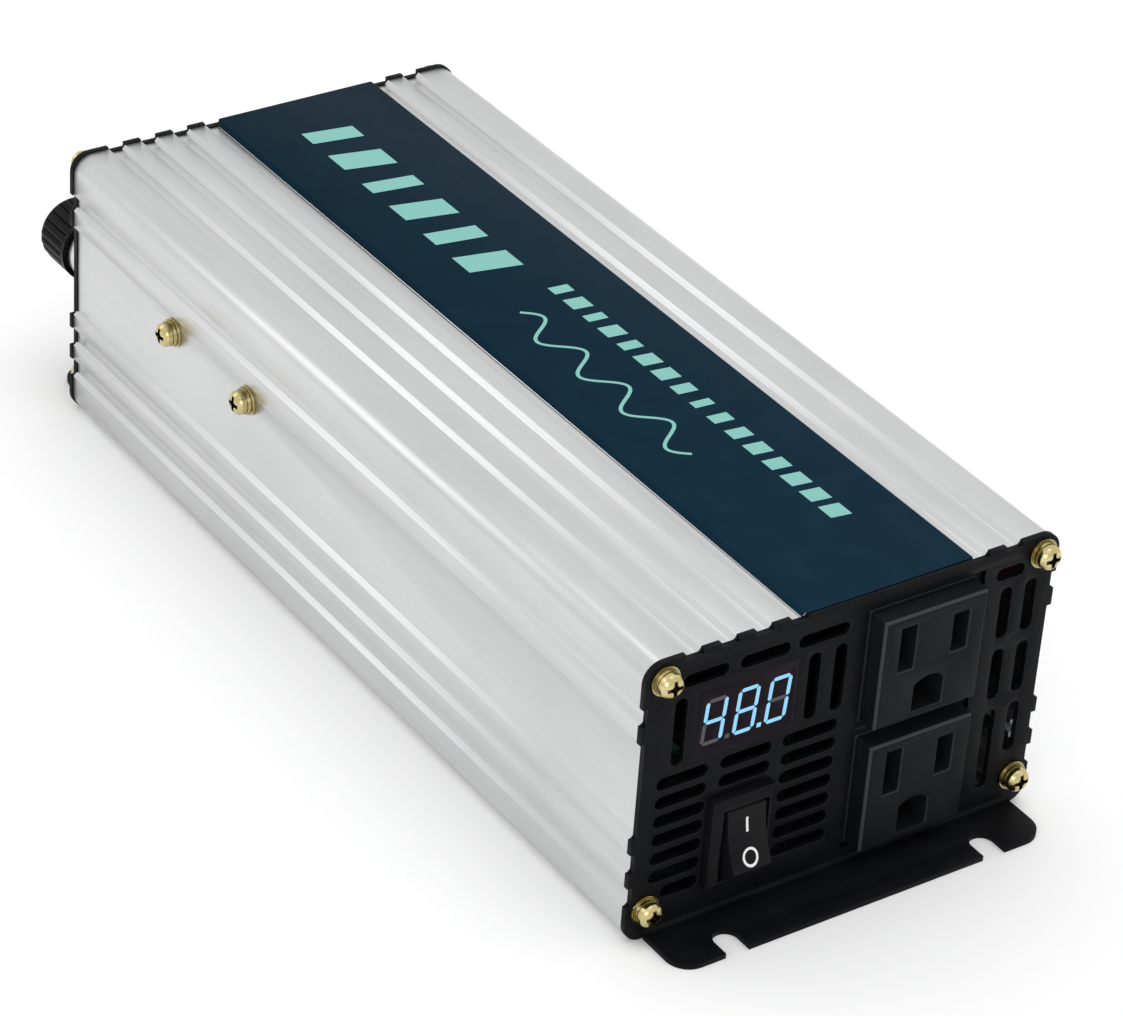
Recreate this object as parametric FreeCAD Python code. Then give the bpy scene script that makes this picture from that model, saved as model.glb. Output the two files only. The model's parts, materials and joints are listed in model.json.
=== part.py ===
import FreeCAD, Part
import math
import os

# Power inverter: an extruded aluminium case closed by two bent steel end plates.
# Millimetres. Origin on the floor plane at the middle of the case; the outlets face -Y, +X is to the
# right when looking at the outlets, and +Z is up.

# ---------------------------------------------------------------- driving dimensions
case_length = 221.0            # over the outer faces of both end plates
case_width = 98.0              # over the end plates
case_height = 64.5             # floor to the top edge of the end plates
corner_radius = 4.2
plate_thickness = 1.2
plate_overhang = 0.3           # how far the plates stand proud of the extrusion

# extrusion: grooves run its whole length, each with one square wall and one sloped wall
groove_depth = 1.05
slope_run = 1.0
wall_under_groove = 1.5
floor_wall = 1.8
top_groove_width = 4.1
top_groove_pitch = 8.05
left_land = 8.9                # width of the top left corner land
right_land = 9.4               # width of the top right corner land
left_groove_count = 4
right_groove_count = 2
side_land = 8.7                # height of the bottom corner land on each side
side_groove_width = 4.6
side_pitch = 7.95
recess_height = 22.3           # wide flat on each side, where the side screws sit
upper_ridge_height = 3.95
upper_groove_width = 4.0

# end plates
foot_length = 13.0
foot_side_inset = 4.4
foot_corner_radius = 5.0
bend_radius = 1.0
foot_slot_width = 5.5
foot_slot_spacing = 62.5
foot_slot_reach = 9.2          # slot centre, out from the plate's outer face

# screws
plate_screw_inset = 4.3
plate_screw_low = 7.2
plate_screw_high = 60.5
m3_radius = 1.5
m3_head_radius = 2.6
m3_head_height = 2.2
plate_screw_length = 10.0
side_screw_height = 42.4
side_screw_first = 35.3
side_screw_pitch = 31.2
side_screw_length = 9.0
washer_radius = 3.2
washer_thickness = 0.6
lock_washer_radius = 2.8
lock_washer_thickness = 0.9
screw_clearance = 0.15         # round a screw in a plain hole
thread_gap = 0.03              # round a screw in a tapped hole

# ventilation slots of the front plate: rows are level, columns are upright
vent_width = 2.9
vent_row_pitch = 4.38
vent_row_top = 35.9
left_vent_x = -38.35
left_vent_length = 11.9
middle_vent_x = -23.6
middle_vent_length = 12.0
right_vent_x = -8.55
right_vent_length = 13.0
vent_rows = 7
top_vent_z = 58.2
top_vents = [(-34.9, 10.4), (-21.3, 11.6), (-7.6, 12.0), (37.2, 7.0)]
upright_vent_z = 47.0
upright_vent_length = 15.4
upright_vents = [-40.1, -9.2, -3.0]
side_column_x = 36.9
side_column_pitch = 6.1
side_column_top = 54.8
side_column_length = 12.0
side_column_gap = 2.6

# display
display_x = -24.7
display_z = 46.9
display_width = 22.8
display_height = 15.6
display_depth = 7.0
digit_height = 10.4
digit_width = 5.1
digit_pitch = 7.4
digit_slant = 0.09
segment_width = 0.85
segment_gap = 0.12
segment_depth = 1.5
point_size = 1.0

# rocker switch
switch_x = -24.4
switch_z = 18.1
bezel_width = 14.6
bezel_height = 20.6
bezel_wall = 1.9               # height of the bezel's upright edge
bezel_slope = 1.9              # width of the sloped face round the opening
bezel_rise = 1.0               # rise of the sloped face
switch_body_depth = 12.0
switch_body_inset = 0.9        # each side, body against bezel
paddle_width = 8.9
paddle_front = 5.7             # pivot axis to the paddle's lips
paddle_half_length = 6.45
paddle_dish = 0.9
paddle_gap = 0.25
paddle_tilt = 16.0             # each side of level
pivot_depth = 0.6              # pivot axis behind the plate's outer face
pivot_radius = 1.2

# outlets
outlet_x = 16.6
outlet_top = 60.8              # top edge of the plate's opening
outlet_width = 25.0
outlet_height = 25.3
outlet_pitch = 29.2
outlet_gap = 1.75              # between an outlet's face block and the plate, sides and top
outlet_bottom_gap = 0.6
outlet_proud = 3.7
outlet_depth = 20.0
outlet_lip = 1.6               # how far the outlet's flange reaches behind the plate
outlet_flange = 2.0
outlet_edge = 0.5              # chamfer round the face
blade_spacing = 12.7
blade_slot_width = 3.8
neutral_slot_height = 10.3
line_slot_height = 8.8
blade_rise = 5.0               # blade centres above the face centre
ground_drop = 7.0              # ground centre below the face centre
ground_width = 7.2
ground_height = 7.5
contact_thickness = 0.6

# rear terminals
terminal_x = 38.5
terminal_z = 34.2
stud_radius = 3.0
base_radius = 7.2
base_height = 3.2
spigot_radius = 4.6
contact_washer_radius = 6.0
contact_washer_height = 1.3
collar_radius = 6.9
collar_height = 3.2
knob_radius = 8.0
knob_length = 11.5
knob_ribs = 22
knob_rib_depth = 0.5
insert_radius = 4.6
insert_length = 9.0
stud_reach = 15.5              # stud tip beyond the rear plate
stud_inner = 14.0              # stud tip inside the rear plate
inner_insulator_height = 2.5
bus_bar_thickness = 1.5
bus_bar_landing = 4.0          # length of its foot on the main board
nut_height = 5.0
turning_gap = 0.15
running_gap = 0.06

# fan
fan_size = 50.0
fan_depth = 15.0
fan_z = 33.0
fan_hole_spacing = 40.0
fan_bore_radius = 23.4
rotor_radius = 22.6
hub_radius = 11.0
fan_blades = 7
blade_thickness = 1.1
blade_pitch_angle = 42.0
shaft_radius = 1.0
bearing_radius = 2.6
motor_radius = 9.0
m4_radius = 2.0
guard_wire = 0.8
guard_rings = [7.0, 14.6, 22.2]

# inside
board_thickness = 1.6
board_height = 17.0            # underside of the main board
board_front = -84.0
board_rear = 82.0
rib_thickness = 1.2
rib_reach = 2.2
slot_play = 0.15
transistor_width = 10.0
transistor_thickness = 4.4
transistor_height = 15.0
transistor_lift = 14.0         # leads between board and case
pad_thickness = 0.4
clamp_height = 8.0
clamp_thickness = 3.0
transformer_ys = [22.0, -20.0]
core_length = 36.0
core_thickness = 12.0
core_height = 30.0
coil_depth = 34.0
coil_width = 25.0
bobbin_lift = 2.0
input_capacitor_radius = 8.0
input_capacitor_height = 30.0
input_capacitor_y = 56.0
bus_capacitor_radius = 11.0
bus_capacitor_height = 36.0
bus_capacitor_y = -52.0
choke_x = -32.0
choke_y = -48.0
choke_radius = 11.5            # outside the winding
choke_tube = 4.0               # radius of the wound tube
choke_turns = 16
control_y = -73.0

# ---------------------------------------------------------------- places that follow from them
half_length = case_length / 2
half_width = case_width / 2
front_face = -half_length
front_back = front_face + plate_thickness
rear_face = half_length
rear_back = rear_face - plate_thickness
body_half_width = half_width - plate_overhang
body_height = case_height - plate_overhang
inner_half_width = body_half_width - groove_depth - wall_under_groove
inner_top = body_height - groove_depth - wall_under_groove
plate_screw_x = half_width - plate_screw_inset
channel_radius = m3_radius + 1.7
board_top = board_height + board_thickness
outlet_high = outlet_top - outlet_gap - outlet_height / 2
outlet_centres = [outlet_high, outlet_high - outlet_pitch]
outlet_bottom = outlet_centres[1] - outlet_height / 2 - outlet_bottom_gap
side_screw_ys = [side_screw_first + side_screw_pitch * row for row in range(2)]
label_left = -half_width + left_land + top_groove_pitch * (left_groove_count - 1) + top_groove_width
label_right = half_width - right_land - top_groove_pitch * (right_groove_count - 1) - top_groove_width
X = FreeCAD.Vector(1, 0, 0)
Y = FreeCAD.Vector(0, 1, 0)
Z = FreeCAD.Vector(0, 0, 1)

os.makedirs("parts", exist_ok=True)


# ---------------------------------------------------------------- helpers
def vec(x, y, z):
    return FreeCAD.Vector(x, y, z)


def box(x0, x1, y0, y1, z0, z1):
    return Part.makeBox(x1 - x0, y1 - y0, z1 - z0, vec(x0, y0, z0))


def rod(radius, start, direction, length):
    return Part.makeCylinder(radius, length, start, direction)


def ring(outer, inner, start, direction, length):
    return rod(outer, start, direction, length).cut(rod(inner, start, direction, length))


def join(shapes):
    whole = shapes[0]
    if len(shapes) > 1:
        whole = whole.fuse(shapes[1:])
    return whole.removeSplitter()


def carve(shape, tools):
    return shape.cut(tools).removeSplitter() if tools else shape


def prism(points, direction):
    face = Part.Face(Part.makePolygon([vec(*p) for p in points] + [vec(*points[0])]))
    return face.extrude(direction)


def rounded_box(x0, x1, y0, y1, z0, z1, radius, axis):
    """A box whose four edges along the axis are rounded."""
    block = box(x0, x1, y0, y1, z0, z1)
    edges = [e for e in block.Edges if abs(e.tangentAt(e.FirstParameter).dot(axis)) > 0.9]
    return block.makeFillet(radius, edges)


def stadium(x, z, length, width, y0, y1, upright=False):
    """A slot with round ends, cut along Y."""
    reach = (length - width) / 2
    step = Z if upright else X
    centre = vec(x, y0, z)
    ends = [rod(width / 2, centre + step * side * reach, Y, y1 - y0) for side in (-1, 1)]
    wide, tall = (width / 2, reach) if upright else (reach, width / 2)
    middle = box(x - wide, x + wide, y0, y1, z - tall, z + tall)
    return middle.fuse(ends).removeSplitter()


def hexagon(across_flats, start, direction, length, turn=0.0):
    radius = across_flats / math.sqrt(3)
    side = vec(0, 1, 0) if abs(direction.x) > 0.9 else vec(1, 0, 0)
    other = direction.cross(side)
    points = []
    for corner in range(6):
        angle = math.radians(60 * corner + turn)
        points.append(start + side * (radius * math.cos(angle)) + other * (radius * math.sin(angle)))
    face = Part.Face(Part.makePolygon(points + [points[0]]))
    return face.extrude(direction * length)


def mirrored(shape):
    return shape.mirror(vec(0, 0, 0), X)


def save(name, solids):
    shapes = solids if isinstance(solids, list) else [solids]
    pieces = [solid for shape in shapes for solid in shape.Solids]
    whole = pieces[0] if len(pieces) == 1 else Part.makeCompound(pieces)
    whole.exportStep("parts/" + name + ".step")


# ---------------------------------------------------------------- case
def top_groove_starts():
    left = [-half_width + left_land + top_groove_pitch * n for n in range(left_groove_count)]
    right = [half_width - right_land - top_groove_width - top_groove_pitch * n
             for n in range(right_groove_count)]
    return left + right


def side_grooves():
    """Low and high edge of each groove on a side, from the floor up."""
    low = [(side_land + side_pitch * n, side_land + side_pitch * n + side_groove_width) for n in range(2)]
    recess = side_land + side_pitch * 2
    upper = recess + recess_height + upper_ridge_height
    return low + [(recess, recess + recess_height), (upper, upper + upper_groove_width)]


def top_groove_cut(start, level, slope, y0, y1):
    end = start + top_groove_width
    bottom = level - groove_depth
    points = [(start, y0, level + 1), (start, y0, bottom), (end - slope, y0, bottom),
              (end, y0, level), (end, y0, level + 1)]
    return prism(points, vec(0, y1 - y0, 0))


def side_groove_cut(low, high, edge, slope, y0, y1):
    floor = edge - groove_depth
    points = [(edge + 1, y0, low), (edge, y0, low), (floor, y0, low + slope),
              (floor, y0, high), (edge + 1, y0, high)]
    return prism(points, vec(0, y1 - y0, 0))


def groove_cuts(edge, level, slope, y0, y1):
    cuts = [top_groove_cut(start, level, slope, y0, y1) for start in top_groove_starts()]
    for low, high in side_grooves():
        right = side_groove_cut(low, high, edge, slope, y0, y1)
        cuts += [right, mirrored(right)]
    return cuts


def corner_screw_places():
    return [(side * plate_screw_x, z) for side in (-1, 1) for z in (plate_screw_low, plate_screw_high)]


def case_shell():
    y0, y1 = front_back, rear_back
    outer = rounded_box(-body_half_width, body_half_width, y0, y1, 0, body_height, corner_radius, Y)
    cavity = rounded_box(-inner_half_width, inner_half_width, y0, y1, floor_wall, inner_top, 2.0, Y)
    shell = outer.cut(cavity)
    extras = []
    for x, z in corner_screw_places():
        extras.append(rod(channel_radius, vec(x, y0, z), Y, y1 - y0))
    for side in (-1, 1):
        inside = side * (inner_half_width - rib_reach)
        outside = side * (inner_half_width + 0.5)
        xs = sorted((inside, outside))
        for z in (board_height - slot_play - rib_thickness, board_top + slot_play):
            extras.append(box(xs[0], xs[1], y0, y1, z, z + rib_thickness))
    shell = shell.fuse([piece.common(outer) for piece in extras])
    cuts = groove_cuts(body_half_width, body_height, slope_run, y0, y1)
    for x, z in corner_screw_places():
        cuts.append(rod(m3_radius + thread_gap, vec(x, y0, z), Y, y1 - y0))
    for y in side_screw_ys:
        through = vec(-half_width, y, side_screw_height)
        cuts.append(rod(m3_radius + screw_clearance, through, X, case_width))
    return carve(shell, cuts)


def label_strip():
    """Film on the wide top land, wrapped down the sloped wall at its left edge."""
    thick = plate_overhang
    lap = plate_thickness / 2
    top = body_height
    drop = groove_depth * 0.85
    lean = slope_run * 0.85
    wall = math.hypot(groove_depth, slope_run)
    out_x = -groove_depth / wall * thick
    out_z = slope_run / wall * thick
    corner = label_left - thick * (wall - slope_run) / groove_depth
    y0, y1 = front_back, rear_back
    points = [(label_left, y0, top), (label_left - lean, y0, top - drop),
              (label_left - lean + out_x, y0, top - drop + out_z), (corner, y0, top + thick),
              (label_right, y0, top + thick), (label_right, y0, top)]
    film = prism(points, vec(0, y1 - y0, 0))
    lapped = box(label_left, label_right, front_face + lap, rear_face - lap, top, top + thick)
    return join([film, lapped])


# ---------------------------------------------------------------- end plates
def plate_blank():
    """Flat plate with its foot bent outwards, before cut-outs, for the front end."""
    outline = rounded_box(-half_width, half_width, front_face, front_back, 0, case_height, corner_radius, Y)
    foot_half = half_width - foot_side_inset
    bend_outer = bend_radius + plate_thickness
    flat = outline.cut(box(-foot_half, foot_half, front_face - 1, front_back + 1, -1, bend_outer))
    bend_y = front_face - bend_radius
    corner = ring(bend_outer, bend_radius, vec(-foot_half, bend_y, bend_outer), X, 2 * foot_half)
    bend = corner.common(box(-foot_half, foot_half, bend_y, front_back + 1, -1, bend_outer))
    tip = front_face - foot_length
    foot = box(-foot_half, foot_half, tip, bend_y, 0, plate_thickness)
    corners = [e for e in foot.Edges
               if abs(e.tangentAt(e.FirstParameter).z) > 0.9 and abs(e.CenterOfMass.y - tip) < 0.01]
    foot = foot.makeFillet(foot_corner_radius, corners)
    cuts = []
    for side in (-1, 1):
        x = side * foot_slot_spacing / 2
        radius = foot_slot_width / 2
        centre_y = front_face - foot_slot_reach
        cuts.append(rod(radius, vec(x, centre_y, -1), Z, plate_thickness + 2))
        cuts.append(box(x - radius, x + radius, tip - 1, centre_y, -1, plate_thickness + 1))
    blank = join([flat, bend, foot])
    cuts += groove_cuts(half_width, case_height, 0.0, front_face, front_back)
    cuts.append(box(label_left - 0.01, label_right + 0.01, front_face, front_back,
                    body_height, case_height + 1))
    for x, z in corner_screw_places():
        cuts.append(rod(m3_radius + screw_clearance, vec(x, front_face, z), Y, plate_thickness))
    return carve(blank, cuts)


def vent_row(x, length, z):
    return stadium(x, z, length, vent_width, front_face, front_back)


def vent_column(x, top, length):
    return stadium(x, top - length / 2, length, vent_width, front_face, front_back, upright=True)


def vent_cuts():
    cuts = []
    for row in range(vent_rows):
        z = vent_row_top - vent_row_pitch * row
        last = row == vent_rows - 1
        left_short = 3.2 if last else 0.0
        cuts.append(vent_row(left_vent_x + left_short / 2, left_vent_length - left_short, z))
        cuts.append(vent_row(right_vent_x, right_vent_length, z))
        if row < 2:
            cuts.append(vent_row(middle_vent_x, middle_vent_length, z))
    cuts += [vent_row(x, length, top_vent_z) for x, length in top_vents]
    upright_top = upright_vent_z + upright_vent_length / 2
    cuts += [vent_column(x, upright_top, upright_vent_length) for x in upright_vents]
    step = side_column_length + side_column_gap
    for column in range(2):
        x = side_column_x + side_column_pitch * column
        for row in range(3):
            long_slot = row == 2 and column == 0
            length = side_column_length + (7.2 if long_slot else 0.0)
            cuts.append(vent_column(x, side_column_top - step * row, length))
    return cuts


def front_plate():
    cuts = vent_cuts()
    wide, tall = display_width / 2, display_height / 2
    cuts.append(box(display_x - wide, display_x + wide, front_face, front_back,
                    display_z - tall, display_z + tall))
    wide, tall = bezel_width / 2 - switch_body_inset, bezel_height / 2 - switch_body_inset
    cuts.append(box(switch_x - wide, switch_x + wide, front_face, front_back,
                    switch_z - tall, switch_z + tall))
    wide = outlet_width / 2 + outlet_gap
    cuts.append(box(outlet_x - wide, outlet_x + wide, front_face, front_back, outlet_bottom, outlet_top))
    return carve(plate_blank(), cuts)


def fan_screw_places():
    reach = fan_hole_spacing / 2
    return [(sx * reach, fan_z + sz * reach) for sx in (-1, 1) for sz in (-1, 1)]


def rear_plate():
    blank = plate_blank().mirror(vec(0, 0, 0), Y)
    cuts = [rod(fan_bore_radius, vec(0, rear_back, fan_z), Y, plate_thickness)]
    for x, z in fan_screw_places():
        cuts.append(rod(m4_radius + screw_clearance, vec(x, rear_back, z), Y, plate_thickness))
    for side in (-1, 1):
        cuts.append(rod(spigot_radius, vec(side * terminal_x, rear_back, terminal_z), Y, plate_thickness))
    return carve(blank, cuts)


# ---------------------------------------------------------------- screws
def pan_screw(head_start, out, radius, head_radius, head_height, length):
    """Cross-recess pan head screw; its head starts at head_start and rises along out."""
    head = rod(head_radius, head_start, out, head_height)
    rim = [e for e in head.Edges if (e.CenterOfMass - head_start).dot(out) > head_height * 0.9]
    head = head.makeFillet(head_height * 0.45, rim)
    shank = rod(radius, head_start - out * length, out, length)
    side = vec(0, 1, 0) if abs(out.x) > 0.9 else vec(1, 0, 0)
    other = out.cross(side)
    recess = []
    depth = head_height * 0.6
    for along, across in ((side, other), (other, side)):
        long_half, thin_half = head_radius * 0.55, head_radius * 0.13
        start = head_start + out * (head_height - depth) - along * long_half - across * thin_half
        base = [start, start + along * 2 * long_half,
                start + along * 2 * long_half + across * 2 * thin_half, start + across * 2 * thin_half]
        face = Part.Face(Part.makePolygon(base + [base[0]]))
        recess.append(face.extrude(out * (depth + 1)))
    return carve(join([head, shank]), recess)


def split_washer(start, out, radius, hole):
    washer = ring(radius, hole, start, out, lock_washer_thickness)
    side = vec(0, 1, 0) if abs(out.x) > 0.9 else vec(1, 0, 0)
    other = out.cross(side)
    base = start + side * (hole - 1) - other * 0.3
    far = base + side * (radius + 1)
    corners = [base, far, far + other * 0.6, base + other * 0.6]
    slit = Part.Face(Part.makePolygon(corners + [corners[0]])).extrude(out * lock_washer_thickness)
    return washer.cut(slit)


def plate_screw_places():
    """Seat point on each end plate and the outward direction there."""
    places = []
    for x, z in corner_screw_places():
        places.append((vec(x, front_face, z), -Y))
        places.append((vec(x, rear_face, z), Y))
    return places


def side_screw_places():
    seat = body_half_width - groove_depth
    places = []
    for y in side_screw_ys:
        places.append((vec(-seat, y, side_screw_height), -X))
        places.append((vec(seat, y, side_screw_height), X))
    return places


def screw_sets(places, length):
    hole = m3_radius + screw_clearance
    flat = [ring(washer_radius, hole, seat, out, washer_thickness) for seat, out in places]
    split = [split_washer(seat + out * washer_thickness, out, lock_washer_radius, hole)
             for seat, out in places]
    lift = washer_thickness + lock_washer_thickness
    screws = [pan_screw(seat + out * lift, out, m3_radius, m3_head_radius, m3_head_height, length)
              for seat, out in places]
    return screws, flat, split


# ---------------------------------------------------------------- display
def segment_outlines():
    """The seven bars of one digit about its own centre, as lists of x, z points, keyed a to g."""
    w, h = digit_width / 2, digit_height / 2
    t, g = segment_width / 2, segment_gap
    w, h = w - t, h - t

    def level(z):
        return [(-w + g, z), (-w + t + g, z + t), (w - t - g, z + t), (w - g, z),
                (w - t - g, z - t), (-w + t + g, z - t)]

    def upright(x, z0, z1):
        return [(x, z0 + g), (x + t, z0 + t + g), (x + t, z1 - t - g), (x, z1 - g),
                (x - t, z1 - t - g), (x - t, z0 + t + g)]

    return {"a": level(h), "g": level(0), "d": level(-h), "b": upright(w, 0, h), "c": upright(w, -h, 0),
            "e": upright(-w, -h, 0), "f": upright(-w, 0, h)}


def segment_block(points, x, y0, depth):
    outline = [(x + px + digit_slant * pz, y0, display_z + pz) for px, pz in points]
    return prism(outline, vec(0, depth, 0))


def display_segments():
    """Lit and unlit light pipes of the digits 4, 8 (with its point) and 0."""
    lit, dark = [], []
    shown = ["bcfg", "abcdefg", "abcdef"]
    outlines = segment_outlines()
    for place, keys in enumerate(shown):
        x = display_x + digit_pitch * (place - 1)
        for key, points in outlines.items():
            target = lit if key in keys else dark
            target.append(segment_block(points, x, front_face, segment_depth))
    half = point_size / 2
    for place in range(2):
        x = display_x + digit_pitch * (place - 0.5) + 0.1
        z = -digit_height / 2 + half
        points = [(x - half - display_x, z - half), (x + half - display_x, z - half),
                  (x + half - display_x, z + half), (x - half - display_x, z + half)]
        target = lit if place == 1 else dark
        target.append(segment_block(points, display_x, front_face, segment_depth))
    return lit, dark


def display_block(segments):
    wide, tall = display_width / 2, display_height / 2
    block = box(display_x - wide, display_x + wide, front_face, front_face + display_depth,
                display_z - tall, display_z + tall)
    return carve(block, segments)


def display_board():
    wide, tall = display_width / 2 + 1.5, display_height / 2 + 2.5
    y0 = front_face + display_depth
    board = box(display_x - wide, display_x + wide, y0, y0 + board_thickness,
                display_z - tall, display_z + tall)
    return carve(board, [rod(0.4, pin, Y, board_thickness) for pin in display_pin_places(y0)])


def display_pin_places(y):
    return [vec(display_x + 2.54 * (n - 2.5), y, display_z + side * 5.0)
            for side in (-1, 1) for n in range(6)]


def display_pins():
    places = display_pin_places(front_face + display_depth)
    return [rod(0.4, pin, Y, board_thickness + 1.2) for pin in places]


# ---------------------------------------------------------------- rocker switch
pivot_y = front_face + pivot_depth
paddle_sweep = math.hypot(paddle_front, paddle_half_length)
switch_half_width = bezel_width / 2 - switch_body_inset
switch_half_height = bezel_height / 2 - switch_body_inset
opening_half_width = bezel_width / 2 - bezel_slope
opening_half_height = bezel_height / 2 - bezel_slope
switch_back = front_face + switch_body_depth


def bezel():
    """Upright edge, then a sloped face that rises towards the opening."""
    wide, tall = bezel_width / 2, bezel_height / 2
    base = box(switch_x - wide, switch_x + wide, front_face - bezel_wall, front_face,
               switch_z - tall, switch_z + tall)
    wires = []
    for inset, rise in ((0, 0), (bezel_slope - 0.4, bezel_rise)):
        y = front_face - bezel_wall - rise
        w, t = wide - inset, tall - inset
        corners = [vec(switch_x - w, y, switch_z - t), vec(switch_x + w, y, switch_z - t),
                   vec(switch_x + w, y, switch_z + t), vec(switch_x - w, y, switch_z + t)]
        wires.append(Part.makePolygon(corners + [corners[0]]))
    return join([base, Part.makeLoft(wires, True, True)])


def switch_housing():
    body = box(switch_x - switch_half_width, switch_x + switch_half_width, front_face, switch_back,
               switch_z - switch_half_height, switch_z + switch_half_height)
    shape = join([bezel(), body])
    front = front_face - bezel_wall - bezel_rise - 1
    wide, tall = opening_half_width, opening_half_height
    mouth = box(switch_x - wide, switch_x + wide, front, pivot_y, switch_z - tall, switch_z + tall)
    sweep = rod(paddle_sweep + paddle_gap, vec(switch_x - wide, pivot_y, switch_z), X, 2 * wide)
    room = sweep.common(box(switch_x - wide, switch_x + wide, front_face - bezel_wall, switch_back - 2,
                            switch_z - switch_half_height + 0.6, switch_z + switch_half_height - 0.6))
    reach = switch_half_width - 0.6
    bearing = rod(pivot_radius + running_gap, vec(switch_x - reach, pivot_y, switch_z), X, 2 * reach)
    tabs = [switch_tab(z) for z in switch_tab_heights()]
    shape = carve(shape, [mouth, room, bearing] + tabs)
    wings = []
    for side in (-1, 1):
        z = switch_z + side * switch_half_height
        tip = z + side * 0.7
        points = [(switch_x - 3, front_back + 0.1, z), (switch_x - 3, front_back + 0.1, tip),
                  (switch_x - 3, front_back + 4, z)]
        wings.append(prism(points, vec(6, 0, 0)))
    return join([shape] + wings)


def rocker_paddle():
    """Dished rocker on a cylinder about its pivot, tilted so that its upper end is pressed in."""
    lip_y, lip_z = -paddle_front, paddle_half_length
    start = vec(0, lip_y, -lip_z)
    end = vec(0, lip_y, lip_z)
    dish = Part.Arc(start, vec(0, lip_y + paddle_dish, 0), end).toShape()
    back_y = -0.6
    back_z = math.sqrt(paddle_sweep ** 2 - back_y ** 2)
    mid_angle = (math.atan2(lip_z, lip_y) + math.atan2(back_z, back_y)) / 2
    mid_y, mid_z = paddle_sweep * math.cos(mid_angle), paddle_sweep * math.sin(mid_angle)
    top = Part.Arc(end, vec(0, mid_y, mid_z), vec(0, back_y, back_z)).toShape()
    bottom = Part.Arc(vec(0, back_y, -back_z), vec(0, mid_y, -mid_z), start).toShape()
    back = Part.makePolygon([vec(0, back_y, back_z), vec(0, back_y, 2.6), vec(0, 3.0, 1.4),
                             vec(0, 3.0, -1.4), vec(0, back_y, -2.6), vec(0, back_y, -back_z)])
    face = Part.Face(Part.Wire(Part.__sortEdges__([dish, top, bottom] + back.Edges)))
    block = face.extrude(vec(paddle_width, 0, 0))
    block.translate(vec(-paddle_width / 2, 0, 0))
    reach = switch_half_width - 0.6 - 0.1
    pin = rod(pivot_radius, vec(-reach, 0, 0), X, 2 * reach)
    paddle = join([block, pin])
    paddle.rotate(vec(0, 0, 0), X, -paddle_tilt)
    paddle.translate(vec(switch_x, pivot_y, switch_z))
    return paddle


def switch_tab_heights():
    return [switch_z - 5.5, switch_z, switch_z + 5.5]


def switch_tab(z):
    return box(switch_x - 2.4, switch_x + 2.4, switch_back - 1.2, switch_back + 7.5, z - 0.4, z + 0.4)


def switch_tabs():
    hole = 0.8
    tabs = []
    for z in switch_tab_heights():
        eye = rod(hole, vec(switch_x, switch_back + 5, z - 1), Z, 2)
        tabs.append(switch_tab(z).cut(eye))
    return tabs


# ---------------------------------------------------------------- outlets
def outlet_cuts(z):
    """Blade slots and the round-topped ground hole, open at the face."""
    y0, y1 = front_face - outlet_proud - 1, front_face + outlet_depth - 2
    half = blade_slot_width / 2
    cuts = []
    for side, height in ((-1, neutral_slot_height), (1, line_slot_height)):
        x = outlet_x + side * blade_spacing / 2
        middle = z + blade_rise
        cuts.append(box(x - half, x + half, y0, y1, middle - height / 2, middle + height / 2))
    low = z - ground_drop - ground_height / 2
    wide = ground_width / 2
    shoulder = low + ground_height * 0.8
    arc = Part.Arc(vec(outlet_x + wide, y0, shoulder), vec(outlet_x, y0, low + ground_height),
                   vec(outlet_x - wide, y0, shoulder)).toShape()
    legs = Part.makePolygon([vec(outlet_x - wide, y0, shoulder), vec(outlet_x - wide, y0, low),
                             vec(outlet_x + wide, y0, low), vec(outlet_x + wide, y0, shoulder)])
    face = Part.Face(Part.Wire(Part.__sortEdges__([arc] + legs.Edges)))
    cuts.append(face.extrude(vec(0, y1 - y0, 0)))
    return cuts


def outlet_body(z):
    """Straight-sided face block through the plate's opening, flanged behind the plate."""
    wide, tall = outlet_width / 2, outlet_height / 2
    proud_face = front_face - outlet_proud
    block = box(outlet_x - wide, outlet_x + wide, proud_face, front_face + outlet_depth, z - tall, z + tall)
    rim = [e for e in block.Edges if abs(e.CenterOfMass.y - proud_face) < 0.01]
    block = block.makeChamfer(outlet_edge, rim)
    reach = wide + outlet_gap + outlet_lip
    low, high = outlet_flange_span(z)
    flange = box(outlet_x - reach, outlet_x + reach, front_back, front_back + outlet_flange, low, high)
    return carve(join([block, flange]), outlet_cuts(z) + outlet_tails(z))


def outlet_flange_span(z):
    """The two flanges meet halfway between the outlets."""
    middle = sum(outlet_centres) / 2
    if z > middle:
        return middle, outlet_top + 0.6
    return outlet_bottom - 0.6, middle


def outlet_tails(z):
    """Solder tails of neutral, line and ground, through the back of the housing."""
    y0 = front_face + outlet_depth - 2
    places = [(outlet_x - blade_spacing / 2, z + blade_rise), (outlet_x + blade_spacing / 2, z + blade_rise),
              (outlet_x, z - ground_drop)]
    y1 = y0 + 2 + board_thickness + 1.5
    return [box(x - 1.2, x + 1.2, y0, y1, cz - 0.4, cz + 0.4) for x, cz in places]


def spring_fork(x, z, gap, width, height):
    """Two leaves joined at the back by a bridge, open to the front."""
    y1 = front_face + outlet_depth - 2
    y0 = y1 - 11
    leaves = []
    for side in (-1, 1):
        inner = side * gap / 2
        outer = side * (gap / 2 + contact_thickness)
        xs = sorted((x + inner, x + outer))
        leaves.append(box(xs[0], xs[1], y0, y1, z - height / 2, z + height / 2))
    bridge = box(x - width / 2, x + width / 2, y1 - contact_thickness, y1, z - height / 2, z + height / 2)
    return join(leaves + [bridge])


def blade_contact(side, z, tail):
    x = outlet_x + side * blade_spacing / 2
    gap = blade_slot_width - 2 * contact_thickness - 0.2
    width = gap + 2 * contact_thickness
    return join([spring_fork(x, z + blade_rise, gap, width, 6.0), tail])


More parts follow.
